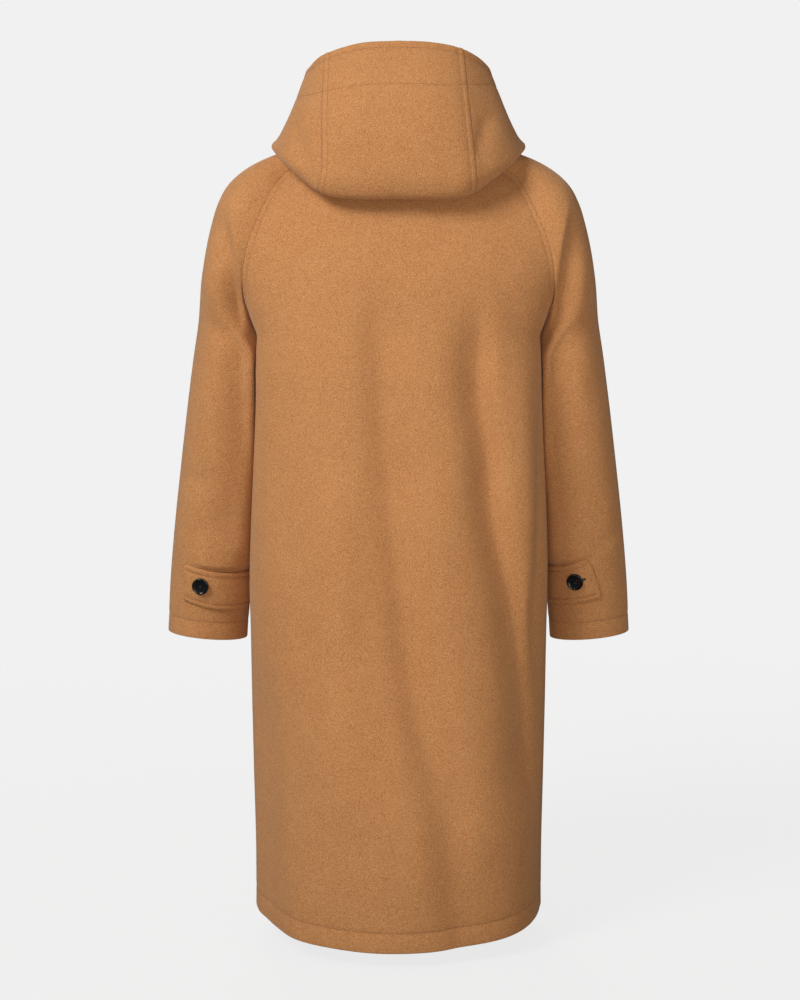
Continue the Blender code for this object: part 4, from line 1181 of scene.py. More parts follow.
def polished_black_horn(made):
    """Polished horn with a faint grain, fine rubbing marks and a clear gloss."""
    grain = made.noise(1.0, 3.0, 0.6, 0.8, made.mapped((0.2, 0.1, 0.3), (60, 420, 420)))
    rubbed = made.noise(1.0, 2.0, 0.7, place=made.mapped((0.5, 0.9, 0.2), (900, 160, 700)))
    colour = made.tones(bpy.context.scene.coat_fittings.horn_colour, 0.75, grain)
    made.set(Base_Color=colour, Roughness=made.span(rubbed, 0.08, 0.22))
    made.set(Coat_Weight=0.3, Coat_Roughness=0.05, IOR=1.5, Specular_IOR_Level=0.45)
    made.bump(rubbed, 0.06, 0.0002)


def dark_twisted_cord(made):
    """Dark waxed cord, with fibres that catch a little light."""
    fibres = made.noise(1700.0, 3.0, 0.65)
    tone = made.sums(0.45, (fibres, 1.1), (made.noise(60.0), 0.6))
    colour = made.tones(bpy.context.scene.coat_fittings.cord_colour, 0.7, tone)
    made.set(Base_Color=colour, Roughness=made.span(fibres, 0.6, 0.9), Sheen_Weight=0.25, Sheen_Roughness=0.4)
    made.bump(fibres, 0.5, 0.0003)


def pale_floor(made):
    """Matt pale floor that fades into what lies behind it."""
    emission = made.tones(bpy.context.scene.coat_stage.floor_colour, 0.004, made.noise(40.0, 3.0))
    seen = made.add("ShaderNodeLightPath").outputs["Is Camera Ray"]
    made.set(Emission_Color=emission, Emission_Strength=made.span(seen, 0.0, 0.9))
    made.set(Base_Color=(0.08, 0.08, 0.08, 1.0), Roughness=0.95, Specular_IOR_Level=0.0)
    flat = made.add("ShaderNodeVectorMath", {0: made.place, 1: (1, 1, 0)}, operation="MULTIPLY").outputs[0]
    away = made.add("ShaderNodeVectorMath", {0: flat}, operation="LENGTH").outputs["Value"]
    values = {"Value": away, "From Min": 0.5, "From Max": 2.6}
    fade = made.add("ShaderNodeMapRange", values, interpolation_type="SMOOTHSTEP").outputs["Result"]
    clear = made.add("ShaderNodeBsdfTransparent").outputs[0]
    mix = made.add("ShaderNodeMixShader", {0: fade, 1: made.shader.outputs[0], 2: clear}).outputs[0]
    made.fill(made.tree.nodes["Material Output"].inputs["Surface"], mix)


def colour_setting(name, description, default):
    """A setting for a colour."""
    return FloatVectorProperty(
        name=name, description=description, subtype="COLOR", size=3, min=0, max=1, default=default
    )


def length_setting(name, description, low, high, default):
    """A setting for a length."""
    return amount_setting(name, description, high, default, low, unit="LENGTH")


def amount_setting(name, description, high, default, low=0, **kind):
    """A setting for an amount."""
    return FloatProperty(name=name, description=description, min=low, max=high, default=default, **kind)


class CoatCloth(bpy.types.PropertyGroup):
    """The wool and the thread."""

    wool_colour: colour_setting("Wool", "Colour of the wool", (0.500, 0.232, 0.088))
    heather: amount_setting("Heather", "How far light and dark fibres differ", 1, 0.3, subtype="FACTOR")
    nap: amount_setting("Nap", "How rough the brushed face is", 1, 0.5, subtype="FACTOR")
    thread_colour: colour_setting("Thread", "Colour of the sewing thread", (0.330, 0.145, 0.052))
    thickness: length_setting("Thickness", "Thickness of the wool", 0.001, 0.003, 0.0025)


class CoatFittings(bpy.types.PropertyGroup):
    """Buttons, toggles and cords."""

    horn_colour: colour_setting("Horn", "Colour of the buttons and toggles", (0.0035, 0.0045, 0.0065))
    cord_colour: colour_setting("Cord", "Colour of the toggle cords", (0.018, 0.015, 0.013))
    button_radius: length_setting("Button radius", "Half the width of a cuff button", 0.008, 0.014, 0.0115)
    toggle_length: length_setting("Toggle length", "Length of a toggle", 0.03, 0.07, 0.052)


class CoatStage(bpy.types.PropertyGroup):
    """Floor, light and camera."""

    floor_colour: colour_setting("Floor", "Colour of the floor and of what lies behind", (0.879,) * 3)
    key_power: amount_setting("Main light", "Power of the light from the upper left", 500, 154, unit="POWER")
    fill: amount_setting("Fill light", "Strength of the light all round", 3, 0.19)
    lens: amount_setting("Lens", "Focal length of the camera", 200, 79.7, low=20, unit="CAMERA")


class COAT_OT_body(bpy.types.Operator):
    """Cuts and presses the back and the two fronts"""

    bl_idname = "coat.body"
    bl_label = "Back and fronts"

    def execute(self, context):
        base, normals, places = panels()["back"]
        outer = base - normals * folds_of("back", base, normals, places)
        first, last, _, up = edge_distances(outer)
        to_seam = np.minimum(first, last)
        groove_depth_and_shade = seam_valley(to_seam) + groove(to_seam, SEAM_STITCH, up, seed=3)
        groove_depth_and_shade += groove(up, HEM_STITCH, first, seed=5)
        SHAPED["back"] = cloth_piece("back", outer, normals, groove_depth_and_shade, ("bottom",)), normals
        for side, (grid, facing) in zip(SIDES, fronts()):
            first, last, _, up = edge_distances(grid)
            groove_depth_and_shade = seam_valley(last) + groove(last, SEAM_STITCH, up, seed=7)
            groove_depth_and_shade = groove_depth_and_shade + groove(first, EDGE_STITCH, up, seed=9)
            groove_depth_and_shade = groove_depth_and_shade + groove(up, HEM_STITCH, first, seed=11)
            name, rests_on = f"front_{side}", [f"wool_sleeve_{side}", "wool_back"]
            SHAPED[name] = cloth_piece(name, grid, facing, groove_depth_and_shade, ("bottom", "first")), facing
        return {"FINISHED"}


class COAT_OT_sleeves(bpy.types.Operator):
    """Cuts the raglan sleeves, each closed into a tube below the underarm"""

    bl_idname = "coat.sleeves"
    bl_label = "Sleeves"

    def execute(self, context):
        base, normals, turns = panels()["sleeve"]
        rows = np.arange(len(base))[:, None]
        hold = np.where(rows < UPPER_ROWS, ease((1 - np.abs(turns)) / SEAM_HOLD), 1.0)
        for side, turn in SIDES.items():
            name, grid, facing = f"sleeve_{side}", base * turn, normals * turn
            soft = crease_depth(name, grid, facing) * hold - puff_over_tab(side, grid, turns)
            outer = grid - facing * soft[..., None]
            first, last, _, up = edge_distances(outer)
            groove_depth_and_shade = seam_valley(np.minimum(first, last)) * (rows <= UPPER_ROWS)
            groove_depth_and_shade = groove_depth_and_shade + groove(up, CUFF_STITCH, first, seed=13)
            shaped = cloth_piece(name, outer, facing, groove_depth_and_shade, ("bottom",), joined_from=UPPER_ROWS)
            SHAPED[name] = shaped, facing
        return {"FINISHED"}


def neck_line(station):
    """The neck edge on the left, by the hood's stations."""
    if station <= HOOD_SEAM_STATION:
        return body_face("back", 0, np.array([station / HOOD_SEAM_STATION]))[0]
    if station <= HOOD_SIDE_STATION:
        part = (station - HOOD_SEAM_STATION) / (HOOD_SIDE_STATION - HOOD_SEAM_STATION)
        return sleeve_arc(0, np.array([1 - 2 * part]))[0]
    part = (station - HOOD_SIDE_STATION) / (HOOD_END_STATION - HOOD_SIDE_STATION)
    return body_face("front", 0, np.array([max(1 - part, 0.05)]))[0]


def hood_section(side, station):
    """A section of the hood from the neck seam over the hump and round to the rim, closer at its stitches."""
    names = ("hump", "under", "fold", "low", "high", "rim")
    hump_at, under, fold, low, high, rim = (point(HOOD[side], name, station, "station") for name in names)
    neck = neck_line(station)
    out = unit((low - under) * (1, 1, 0))
    bend = float(column(HOOD[side], "bend", station, "station"))
    start = neck + unit(hump_at - neck) * HOOD_SEAM_GAP
    before = fold + bend * (BEND_ALONG * unit(under - fold) - BEND_APART * out)
    after = fold + bend * (BEND_ALONG * unit(low - fold) + BEND_APART * out)
    route = np.array([start, hump_at, under, before, fold, after, low, high, rim])
    shape = partial(through, np.arange(len(route)), route)
    dense = np.linspace(len(route) - 1, 0, HOOD_SAMPLES)
    length = run_along(shape(dense))[-1]
    facing = min(float(column(FACING, side, station, "station")), length * FACING_REACH)
    edge = edge_marks(EDGE_STITCH)
    between = np.linspace(edge[-1], facing - FACING_GAP, FACING_ROW - len(edge) + 1)[1:-1]
    marks = np.concatenate([edge, between, facing + np.array(STITCH_MARKS)])
    return shape(placed(shape, dense, marks, np.array(SEAM_MARKS), HOOD_ROWS))[::-1]


class COAT_OT_hood(bpy.types.Operator):
    """Cuts the hood's middle panel and two side panels, joined by raised welts"""

    bl_idname = "coat.hood"
    bl_label = "Hood"

    def execute(self, context):
        stations = np.arange(0, HOOD_END_STATION + HOOD_STATION_STEP / 2, HOOD_STATION_STEP)
        halves = {side: np.array([hood_section(side, k) for k in stations]) for side in SIDES}
        whole = np.swapaxes(np.concatenate([mirrored(halves["right"])[:0:-1], halves["left"]]), 0, 1)
        places = np.concatenate([-stations[:0:-1], stations])
        seam, end = HOOD_SEAM_STATION, HOOD_END_STATION
        plain, sewn, welted = edge_marks(), edge_marks(SEAM_STITCH), edge_marks(WELT)
        plans = (
            ("hood_side_right", -end, -seam, plain, sewn, HOOD_SIDE_COLUMNS),
            ("hood_centre", -seam, seam, welted, welted, HOOD_CENTRE_COLUMNS),
            ("hood_side_left", seam, end, sewn, plain, HOOD_SIDE_COLUMNS),
        )
        runs = []
        for name, start, end, first_marks, last_marks, between in plans:
            dense = np.linspace(start, end, STATION_SAMPLES)
            rows = []
            for shape in (partial(through, places, row) for row in whole):
                rows.append(shape(placed(shape, dense, first_marks, last_marks, between)))
            grid = np.array(rows)
            normals = grid_normals(grid)
            if np.sum(normals[HOOD_OUTER_ROW, :, :2] * grid[HOOD_OUTER_ROW, :, :2]) < 0:
                normals = -normals
            free = ["bottom"]
            sewn_sides = []
            for side, place, edge, inner in (("first", start, 0, 1), ("last", end, -1, -2)):
                if abs(place) == seam:
                    grid[:, edge] += unit(grid[:, inner] - grid[:, edge]) * SEAM_SLIT / 2
                    sewn_sides.append(abs(edge))
                else:
                    free.append(side)
            outer = grid - normals * crease_depth(name, grid, normals)[..., None]
            distances = edge_distances(outer)
            first, up = distances[0], distances[3]
            facing_row = len(up) - 1 - FACING_ROW
            groove_depth_and_shade = groove(up, EDGE_STITCH, first, seed=15) + groove(up, up[facing_row], first, seed=17)
            for distance in (distances[k] for k in sewn_sides):
                groove_depth_and_shade = groove_depth_and_shade + seam_valley(distance)
                if name == "hood_centre":
                    groove_depth_and_shade = groove_depth_and_shade + groove(distance, WELT, up, seed=19)
                    # The welt's rise lifts the cloth and, in the material, makes it lighter as painted light
                    rise = ease(distance / WELT_SIDES[0]) * ease((WELT - distance) / WELT_SIDES[1] + 0.5)
                    groove_depth_and_shade = groove_depth_and_shade - WELT_RISE * rise
            shaped = cloth_piece(name, outer, normals, groove_depth_and_shade, free)
            runs += [row_run(shaped, normals, up, EDGE_STITCH), (shaped[facing_row], normals[facing_row])]
            if name == "hood_centre":
                for distance in distances[:2]:
                    runs += [column_run(shaped, normals, distance, away) for away in (WELT, WELT_STITCH)]
        stitches("stitches_hood", runs)
        return {"FINISHED"}


def sleeve_point(height, turn_deg):
    """A point on the sleeve's outer face on the wearer's left and its normal."""
    level = UNDERARM + (height - UNDERARM_HEIGHT) / (CUFF_HEIGHT - UNDERARM_HEIGHT)
    nudge = 0.01
    turn = turn_deg / 180 + np.array([-nudge, 0.0, nudge])
    ring = sleeve_arc(level, turn)
    above = sleeve_arc(level - nudge, turn)
    normal = unit(np.cross(ring[2] - ring[0], above[1] - ring[1]))
    middle_x = float(column(SLEEVE, "outer_x", height) - column(SLEEVE, "half_width", height))
    axis = np.array([middle_x, float(column(SLEEVE, "middle_y", height)), height])
    return ring[1], -normal if np.dot(normal, ring[1] - axis) < 0 else normal


def tab_place(side, part, width):
    """A point of the sleeve under the tab and its normal: width is -1 at its lower edge, 1 at its upper."""
    names = ("height", "half_width", "turn")
    height, half, turn = (float(column(TABS[side], name, part, "part")) for name in names)
    beyond = np.clip((part - TAB_CORNER) / (1 - TAB_CORNER), 0, 1)
    rounded = (1 - beyond**3) ** (1 / TAB_CORNER_POWER)
    share = width * (TAB_TIP_SHARE + (1 - TAB_TIP_SHARE) * rounded)
    return sleeve_point(height + half * share, turn + TAB_END_SLANT[side] * part * share)


def on_tab(side, spots, lift):
    """Points lifted off the sleeve over spots of its tab, each a part and a width, and their normals."""
    places, normals = (np.array(found) for found in zip(*(tab_place(side, *spot) for spot in spots)))
    return (places + normals * lift) * SIDES[side], normals * SIDES[side]


class COAT_OT_cuff_tabs(bpy.types.Operator):
    """Sews a topstitched tab with a buttonhole round the back of each cuff"""

    bl_idname = "coat.cuff_tabs"
    bl_label = "Cuff tabs"

    def execute(self, context):
        corner = TAB_CORNER + (1 - TAB_CORNER) * np.sin(np.linspace(0, math.pi / 2, 9)[1:])
        along = np.concatenate([np.linspace(0, TAB_CORNER, 50), corner])
        for side in SIDES:
            inset = TAB_STITCH / TABS[side]["half_width"][1]
            near_stitch = 1 - inset + np.array([-0.1, -0.05, 0.0, 0.05, 0.1])
            half = np.unique(np.array([0.0, 0.2, 0.4, 0.55, *near_stitch, 0.9, 0.96, 1.0]).round(4))
            widths = np.concatenate([-half[:0:-1], half])
            spots = [(part, width) for part in along for width in widths]
            inner, facing = (found.reshape(len(along), -1, 3) for found in on_tab(side, spots, TAB_GAP))
            outer = inner + facing * TAB_THICKNESS
            first, last, _, from_end = edge_distances(outer)
            to_edge = np.minimum(np.minimum(first, last), from_end)
            groove_depth_and_shade = small_press(to_edge, TAB_STITCH, from_end, 21, TAB_PRESS)
            free, rests_on = ("first", "last", "top"), [f"wool_sleeve_{side}"]
            cloth_piece(f"cuff_tab_{side}", outer, facing, groove_depth_and_shade, free, inner)
            length = run_along(on_tab(side, [(part, 0) for part in np.linspace(0, 1, 20)], 0)[0])[-1]
            self.sew(side, 1 - TAB_STITCH / length, 1 - inset)
            self.work_hole(side, length)
        return {"FINISHED"}

    @staticmethod
    def sew(side, end, width):
        """A row of stitches set in from the tab's edges."""
        along = np.linspace(TAB_STITCH_START, end, 40)
        back = np.linspace(end, TAB_STITCH_START, 40)
        route = [(part, width) for part in along]
        route += [(end, where) for where in np.linspace(width, -width, 14)[1:-1]]
        route += [(part, -width) for part in back]
        lift = TAB_GAP + TAB_THICKNESS - TAB_THREAD_SINK
        stitches(f"stitches_cuff_tab_{side}", [on_tab(side, route, lift)])

    @staticmethod
    def work_hole(side, length):
        """The buttonhole's edge, worked in dark thread."""
        long, wide = HOLE_HALF_LENGTH / length, HOLE_HALF_WIDTH / TABS[side]["half_width"][1]
        middle = BUTTON_INSET[side] + HOLE_SHIFT[side] / length
        angles = np.linspace(0, math.tau, 33)
        spots = [(middle + math.cos(turn) * long, BUTTON_RISE + math.sin(turn) * wide) for turn in angles]
        points, _ = on_tab(side, spots, TAB_GAP + TAB_THICKNESS)
        edge = tube_mesh(f"thread_buttonhole_{side}", points, HOLE_EDGE, *HOLE_TWIST, sides=12)
        finished(edge, dark_twisted_cord)


def select(kind, test):
    """In edit mode, selects the faces, edges or verts that pass a test, and nothing else."""
    bpy.ops.mesh.select_mode(type=kind)
    bpy.ops.mesh.select_all(action="DESELECT")
    mesh = bpy.context.edit_object.data
    shape = bmesh.from_edit_mesh(mesh)
    for item in {"FACE": shape.faces, "EDGE": shape.edges, "VERT": shape.verts}[kind]:
        if test(item):
            item.select_set(True)
    bmesh.update_edit_mesh(mesh)


def cylinder(name, sides, radius, depth, place=(0, 0, 0)):
    """A plain cylinder, the only thing selected."""
    bpy.ops.object.select_all(action="DESELECT")
    bpy.ops.mesh.primitive_cylinder_add(vertices=sides, radius=radius, depth=depth, location=place)
    bpy.context.object.name = name
    bpy.ops.object.transform_apply(location=True, rotation=True, scale=True)
    return bpy.context.object


def turn_to(axis, spin):
    """The turn that takes +Z to an axis, after a spin about it."""
    return Vector((0, 0, 1)).rotation_difference(Vector(axis)).to_matrix() @ Matrix.Rotation(spin, 3, "Z")


def seat(piece, place, axis, spin):
    """Turns a piece's +Z to an axis and moves it to its place in millimetres, in its mesh."""
    piece.data.transform(Matrix.Translation(Vector(place * MM)) @ turn_to(axis, spin).to_4x4())


class COAT_OT_cuff_buttons(bpy.types.Operator):
    """Turns a dished, four-holed button and sews one on each cuff tab"""

    bl_idname = "coat.cuff_buttons"
    bl_label = "Cuff buttons"

    def execute(self, context):
        for side, turn in SIDES.items():
            spin = math.radians(BUTTON_SPIN * turn[0])
            spot = [(BUTTON_INSET[side], BUTTON_RISE)]
            (place,), (axis,) = on_tab(side, spot, TAB_GAP + TAB_THICKNESS + SEAM_GAP)
            piece = self.make_button(f"horn_cuff_button_{side}")
            seat(piece, place, axis, spin)
            finished(piece, polished_black_horn, f"cuff_button_{side}")
            self.sew_on(side, place, axis, spin)
        return {"FINISHED"}

    @staticmethod
    def make_button(name):
        radius = bpy.context.scene.coat_fittings.button_radius
        thick = BUTTON_THICKNESS
        piece = cylinder(name, 64, radius, thick, (0, 0, thick / 2))
        bpy.ops.object.mode_set(mode="EDIT")
        select("FACE", lambda face: face.normal.z > 0.9)
        for inset, sink in BUTTON_DISH:
            bpy.ops.mesh.inset(thickness=radius * inset)
            bpy.ops.transform.translate(value=(0, 0, -sink))
        select("EDGE", lambda edge: all(vert.co.z > thick - TOUCH for vert in edge.verts))
        bpy.ops.mesh.bevel(offset=BUTTON_ROUND_TOP, segments=4, profile=0.5, affect="EDGES")
        select("EDGE", lambda edge: all(vert.co.z < TOUCH for vert in edge.verts))
        bpy.ops.mesh.bevel(offset=BUTTON_ROUND_BACK, segments=3, affect="EDGES")
        bpy.ops.object.mode_set(mode="OBJECT")
        for k in range(4):
            angle = math.tau * (k + 0.5) / 4
            spot = (math.cos(angle) * BUTTON_HOLES_OUT, math.sin(angle) * BUTTON_HOLES_OUT, thick / 2)
            drill = cylinder("drill", 20, BUTTON_HOLE_RADIUS, DRILL_LENGTH, spot)
            bpy.context.view_layer.objects.active = piece
            cut = piece.modifiers.new("hole", "BOOLEAN")
            cut.object = drill
            bpy.ops.object.modifier_apply(modifier=cut.name)
            bpy.data.objects.remove(drill, do_unlink=True)
        piece.select_set(True)
        bpy.ops.object.shade_smooth_by_angle(angle=math.radians(35))
        return piece

    @staticmethod
    def sew_on(side, place, axis, spin):
        """Two crossed threads through the button's holes."""
        turn = np.array(turn_to(axis, spin))
        runs = []
        part = np.linspace(-1, 1, 9)
        for k in range(2):
            angle = math.tau * (k + 0.5) / 4
            reach = (2.6 - 0.1 * k) * part
            line = [math.cos(angle) * reach, math.sin(angle) * reach, 2.9 + 0.35 * k + 0.6 * (1 - part**2)]
            beside = np.array([-math.sin(angle), math.cos(angle), 0.0]) * 0.3
            for shift in (-1, 1):
                run = (np.stack(line, axis=1) + beside * shift) @ turn.T + place
                runs.append((run, np.tile(axis, (len(run), 1))))
        finished(stitch_mesh(f"thread_cuff_button_{side}", runs, 5.2, 0.0, 0.3), dark_twisted_cord)


class FrontFace:
    """A front's outer face as a net of depths over places across and heights, for what is laid on it."""

    def __init__(self, grid):
        rows = grid if grid[0, 0, 0] < grid[0, -1, 0] else grid[:, ::-1]
        self.across = np.arange(*NET_ACROSS, NET)
        self.heights = np.arange(*NET_HEIGHTS, NET)
        depth, height = (
            np.array([np.interp(self.across, row[:, 0], row[:, axis]) for row in rows]).T for axis in (1, 2)
        )
        self.depth = np.array([np.interp(-self.heights, -up, deep) for up, deep in zip(height, depth)]).T

    def at(self, out, height):
        """Points of the face, each between the four nearest places of the net."""
        i = np.clip((height - self.heights[0]) / NET, 0, len(self.heights) - 1.001)
        j = np.clip((out - self.across[0]) / NET, 0, len(self.across) - 1.001)
        row, col = np.floor(i).astype(int), np.floor(j).astype(int)
        up, side = i - row, j - col
        low = self.depth[row, col] * (1 - side) + self.depth[row, col + 1] * side
        high = self.depth[row + 1, col] * (1 - side) + self.depth[row + 1, col + 1] * side
        return np.stack(np.broadcast_arrays(out, low * (1 - up) + high * up, height), axis=-1)

    def place(self, out, height, lift):
        """Points lifted off the cloth, and their normals."""
        here = self.at(out, height)
        beside, below = self.at(out + 2 * NET, height), self.at(out, height - 2 * NET)
        normal = unit(np.cross(beside - here, below - here))
        normal = np.where(normal[..., 1:2] > 0, -normal, normal)
        return here + normal * np.asarray(lift)[..., None], normal


@cache
def front_faces():
    """The faces of the left and right fronts."""
    return {side: FrontFace(grid) for side, (grid, _) in zip(SIDES, fronts())}


class COAT_OT_patches(bpy.types.Operator):
    """Sews the wool patches that hold the toggle cords and loops"""

    bl_idname = "coat.patches"
    bl_label = "Fastening patches"

    def execute(self, context):
        along = np.concatenate([np.linspace(0, 0.9, 28), [0.93, 0.96, 0.985, 1.0]])[:, None]
        inset = PATCH_STITCH / (PATCH_TO - PATCH_FROM)
        outline = [(part, 1) for part in np.linspace(inset, 1 - inset, 18)]
        outline += [(1 - inset, width) for width in np.linspace(1, -1, 8)[1:-1]]
        outline += [(part, -1) for part in np.linspace(1 - inset, inset, 18)]
        outline += [(inset, width) for width in np.linspace(-1, 1, 12)[1:]]
        for number, height in enumerate(FASTENING_HEIGHTS, 1):
            for side in SIDES:
                inner, normals = self.place(side, height, along, np.linspace(-1, 1, 27), 0, PATCH_GAP)
                outer = inner + normals * PATCH_THICKNESS
                distances = edge_distances(outer)
                to_edge = np.min(distances, axis=0)
                groove_depth_and_shade = small_press(to_edge, PATCH_STITCH, distances[0], 23, PATCH_PRESS)
                free, rests_on = ("top", "bottom", "first", "last"), [f"wool_front_{side}"]
                cloth_piece(f"patch_{side}_{number}", outer, normals, groove_depth_and_shade, free, inner)
                lift = PATCH_GAP + PATCH_THICKNESS - PATCH_THREAD_SINK
                run = self.place(side, height, *np.array(outline).T, PATCH_STITCH, lift)
                stitches(f"stitches_patch_{side}_{number}", [run], **PATCH_THREAD)
        return {"FINISHED"}

    @staticmethod
    def place(side, height, part, width, inset, lift):
        """Points over parts along a patch and shares of its half height, less an inset, and their normals."""
        power, taper = PATCH_TAPER
        half = PATCH_HALF_HEIGHT * (1 - part**power * taper) - inset
        out = SIDES[side][0] * (PATCH_FROM + (PATCH_TO - PATCH_FROM) * part)
        return front_faces()[side].place(out, height + width * half, lift)


class COAT_OT_toggles(bpy.types.Operator):
    """Turns a waisted toggle and hangs one in each loop"""

    bl_idname = "coat.toggles"
    bl_label = "Toggles"

    def execute(self, context):
        for number, height in enumerate(FASTENING_HEIGHTS, 1):
            place, _ = front_faces()["left"].place(0.0, height, TOGGLE_LIFT)
            piece = self.make_toggle(f"horn_toggle_{number}")
            seat(piece, place, (1.0, 0.0, 0.0), math.radians(TOGGLE_TURN * number))
            finished(piece, polished_black_horn, f"toggle_{number}")
        return {"FINISHED"}

    @staticmethod
    def make_toggle(name):
        length = bpy.context.scene.coat_fittings.toggle_length
        half = length / 2
        waist = TOGGLE_WAIST / TOGGLE_RADIUS
        # From the middle outwards: how far along in metres, and the share of the radius there
        rings = (
            (0.0, waist), (0.0034, waist), (0.0048, 0.9), (0.0062, 1.0),
            (half * 0.45, 1.0), (half * 0.7, 0.92), (half * 0.86, 0.76), (half * 0.95, 0.6), (half, 0.32),
        )
        piece = cylinder(name, 32, TOGGLE_RADIUS * MM, length)
        bpy.ops.object.mode_set(mode="EDIT")
        bpy.ops.mesh.select_mode(type="FACE")
        for place, _ in rings[:-1]:
            for spot in {place, -place}:
                bpy.ops.mesh.select_all(action="SELECT")
                bpy.ops.mesh.bisect(plane_co=(0, 0, spot), plane_no=(0, 0, 1))
        for place, share in rings:
            for spot in {place, -place}:
                select("VERT", lambda vert, spot=spot: abs(vert.co.z - spot) < TOUCH)
                bpy.ops.transform.resize(value=(share, share, 1), center_override=(0, 0, spot))
        bpy.ops.object.mode_set(mode="OBJECT")
        smooth = piece.modifiers.new("smooth", "SUBSURF")
        smooth.levels = smooth.render_levels = 1
        bpy.ops.object.modifier_apply(modifier=smooth.name)
        bpy.ops.object.shade_smooth_by_angle(angle=math.radians(50))
        return piece


class COAT_OT_cords(bpy.types.Operator):
    """Twists the cord behind each toggle and the loop that holds it"""

    bl_idname = "coat.cords"
    bl_label = "Cords and loops"

    def execute(self, context):
        left, right = front_faces()["left"], front_faces()["right"]
        start = PATCH_FROM - CORD_END_GAP
        beside = TOGGLE_RADIUS + FASTENING_CORD + 0.7
        around = TOGGLE_WAIST + FASTENING_CORD + 0.8
        # Half a loop: how far out from the centre front, how far up from its middle, and its lift
        half_loop = [
            (start, 7.0, CORD_LIFT),
            (42.0, beside + 0.6, CORD_LIFT + 0.4),
            (28.0, beside + 0.9, CORD_LIFT + 1.2),
            (14.0, beside + 0.6, CORD_LIFT + 5.0),
            (6.5, beside, TOGGLE_LIFT),
            (2.0, around + 0.8, TOGGLE_LIFT + 0.8),
        ]
        for angle in np.radians((25, 57, 90)):
            half_loop.append((0.0, around * math.cos(angle), TOGGLE_LIFT + around * math.sin(angle)))
        out, up, lift = np.array(half_loop).T
        for number, height in enumerate(FASTENING_HEIGHTS, 1):
            behind = right.place(np.array([-start, -46.0]), height, (CORD_LIFT, CORD_LIFT + 0.6))[0]
            ahead = left.place(np.array([-30.0, -20.0, -10.0, 0.0]), height, CORD_LIFT)[0]
            upper, lower = left.place(out, height + up, lift)[0], left.place(out, height - up, lift)[0]
            for kind, route in (("cord", (behind, ahead)), ("loop", (upper, lower[-2::-1]))):
                name = "cord_toggle" if kind == "cord" else "cord_loop"
                piece = tube_mesh(f"{name}_{number}", np.concatenate(route), FASTENING_CORD, *CORD_TWIST)
                finished(piece, dark_twisted_cord, f"toggle_{kind}_{number}")
        return {"FINISHED"}


class COAT_OT_topstitching(bpy.types.Operator):
    """Runs the rows of stitches along seams, hem, cuffs and front edge"""

    bl_idname = "coat.topstitching"
    bl_label = "Topstitching"

    def execute(self, context):
        for name in ("back", *(f"{part}_{side}" for side in SIDES for part in ("front", "sleeve"))):
            grid, normals = SHAPED[name]
            first, last, _, up = edge_distances(grid)
            if name.startswith("sleeve"):
                stitches(name.replace("sleeve", "stitches_cuff"), [row_run(grid, normals, up, CUFF_STITCH)])
                continue
            runs = [row_run(grid, normals, up, HEM_STITCH)]
            if name == "back":
                runs.append(column_run(grid, normals, first, SEAM_STITCH, UPPER_ROWS - 4))
            else:
                runs.append(column_run(grid, normals, first, EDGE_STITCH))
            runs.append(column_run(grid, normals, last, SEAM_STITCH, UPPER_ROWS - 4))
            stitches(f"stitches_{name}", runs)
        return {"FINISHED"}


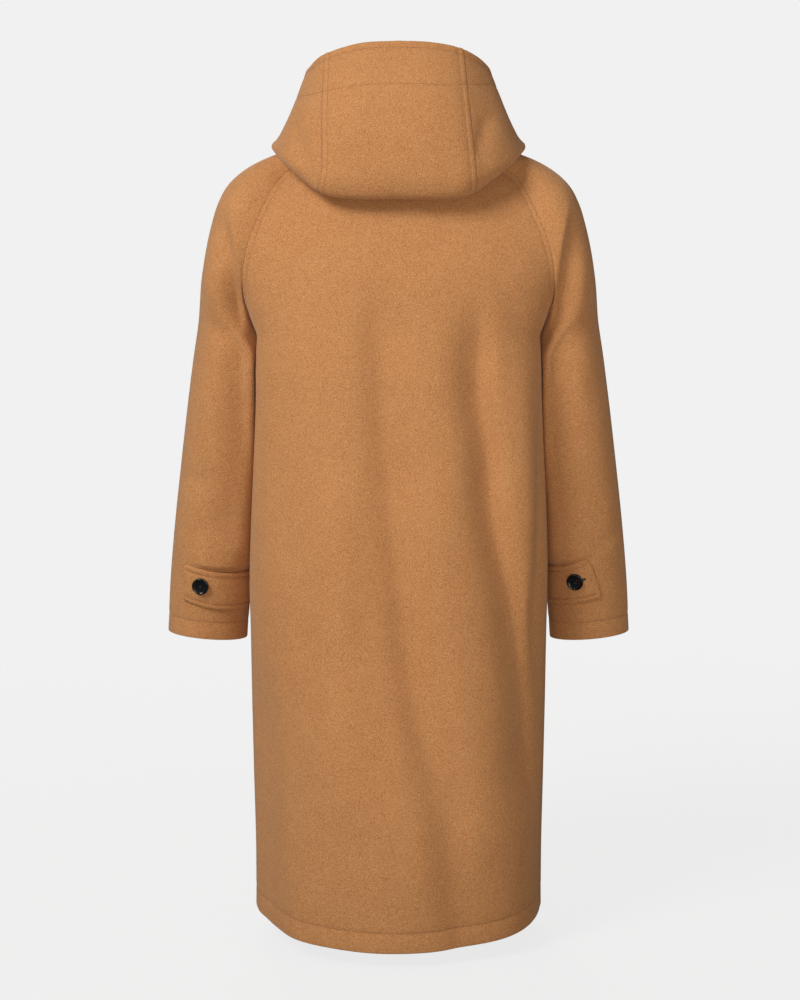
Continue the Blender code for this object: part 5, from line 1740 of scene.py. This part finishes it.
class COAT_OT_stage(bpy.types.Operator):
    """Sets the floor, the soft light and the camera"""

    bl_idname = "coat.stage"
    bl_label = "Stage"

    def execute(self, context):
        scene = context.scene
        stage = scene.coat_stage
        scene.view_settings.view_transform = "Standard"
        self.light_all_round(scene, stage)
        bpy.ops.object.select_all(action="DESELECT")
        bpy.ops.mesh.primitive_circle_add(
            vertices=96, radius=FLOOR_RADIUS, fill_type="NGON", location=FLOOR_PLACE
        )
        floor = context.object
        floor.name = "floor"
        bpy.ops.object.transform_apply(location=True, rotation=True, scale=True)
        floor.data.materials.append(material(pale_floor))
        for name, place, height, size, share, tint in LAMPS:
            bpy.ops.object.light_add(type="AREA", location=place)
            lamp = context.object
            lamp.name = name
            lamp.data.shape = "DISK"
            lamp.data.size = size
            lamp.data.energy = stage.key_power * share
            lamp.data.color = tint
            lamp.visible_camera = False
            self.aim(lamp, (0, 0, height))
        bpy.ops.object.camera_add(location=CAMERA_PLACE)
        camera = context.object
        camera.name = "camera"
        camera.data.lens = stage.lens
        camera.data.sensor_width = CAMERA_SENSOR
        self.aim(camera, CAMERA_TARGET)
        scene.camera = camera
        return {"FINISHED"}

    @staticmethod
    def aim(thing, target):
        thing.rotation_euler = (Vector(target) - thing.location).to_track_quat("-Z", "Y").to_euler()

    @staticmethod
    def light_all_round(scene, stage):
        """A weak warm light from everywhere, behind the plain colour that the camera sees."""
        scene.world = bpy.data.worlds.new("studio")
        scene.world.use_nodes = True
        tree = scene.world.node_tree
        light = tree.nodes["Background"]
        light.inputs["Color"].default_value = AIR_COLOUR
        light.inputs["Strength"].default_value = stage.fill
        seen = tree.nodes.new("ShaderNodeBackground")
        seen.inputs["Color"].default_value = (*stage.floor_colour, 1.0)
        rays = tree.nodes.new("ShaderNodeLightPath")
        choice = tree.nodes.new("ShaderNodeMixShader")
        for source, target in (
            (rays.outputs["Is Camera Ray"], choice.inputs[0]),
            (light.outputs[0], choice.inputs[1]),
            (seen.outputs[0], choice.inputs[2]),
            (choice.outputs[0], tree.nodes["World Output"].inputs["Surface"]),
        ):
            tree.links.new(source, target)


OPERATORS = (
    COAT_OT_body, COAT_OT_sleeves, COAT_OT_hood, COAT_OT_cuff_tabs, COAT_OT_cuff_buttons, COAT_OT_patches,
    COAT_OT_toggles, COAT_OT_cords, COAT_OT_topstitching, COAT_OT_stage,
)


class COAT_PT_panel(bpy.types.Panel):
    """Lists the coat's settings and the steps of its making"""

    bl_idname = "COAT_PT_panel"
    bl_label = "Duffle coat"
    bl_space_type = "VIEW_3D"
    bl_region_type = "UI"
    bl_category = "Coat"

    def draw(self, context):
        for group in (context.scene.coat_cloth, context.scene.coat_fittings, context.scene.coat_stage):
            box = self.layout.box()
            for name in group.bl_rna.properties.keys():
                if name not in {"rna_type", "name"}:
                    box.prop(group, name)
        for operator in OPERATORS:
            self.layout.operator(operator.bl_idname)


CLASSES = (CoatCloth, CoatFittings, CoatStage, *OPERATORS, COAT_PT_panel)


def register():
    for item in CLASSES:
        bpy.utils.register_class(item)
    bpy.types.Scene.coat_cloth = PointerProperty(type=CoatCloth)
    bpy.types.Scene.coat_fittings = PointerProperty(type=CoatFittings)
    bpy.types.Scene.coat_stage = PointerProperty(type=CoatStage)


def unregister():
    del bpy.types.Scene.coat_stage
    del bpy.types.Scene.coat_fittings
    del bpy.types.Scene.coat_cloth
    for item in reversed(CLASSES):
        bpy.utils.unregister_class(item)


def main():
    register()
    for operator in OPERATORS:
        group, name = operator.bl_idname.split(".")
        getattr(getattr(bpy.ops, group), name)()


if __name__ == "__main__":
    main()
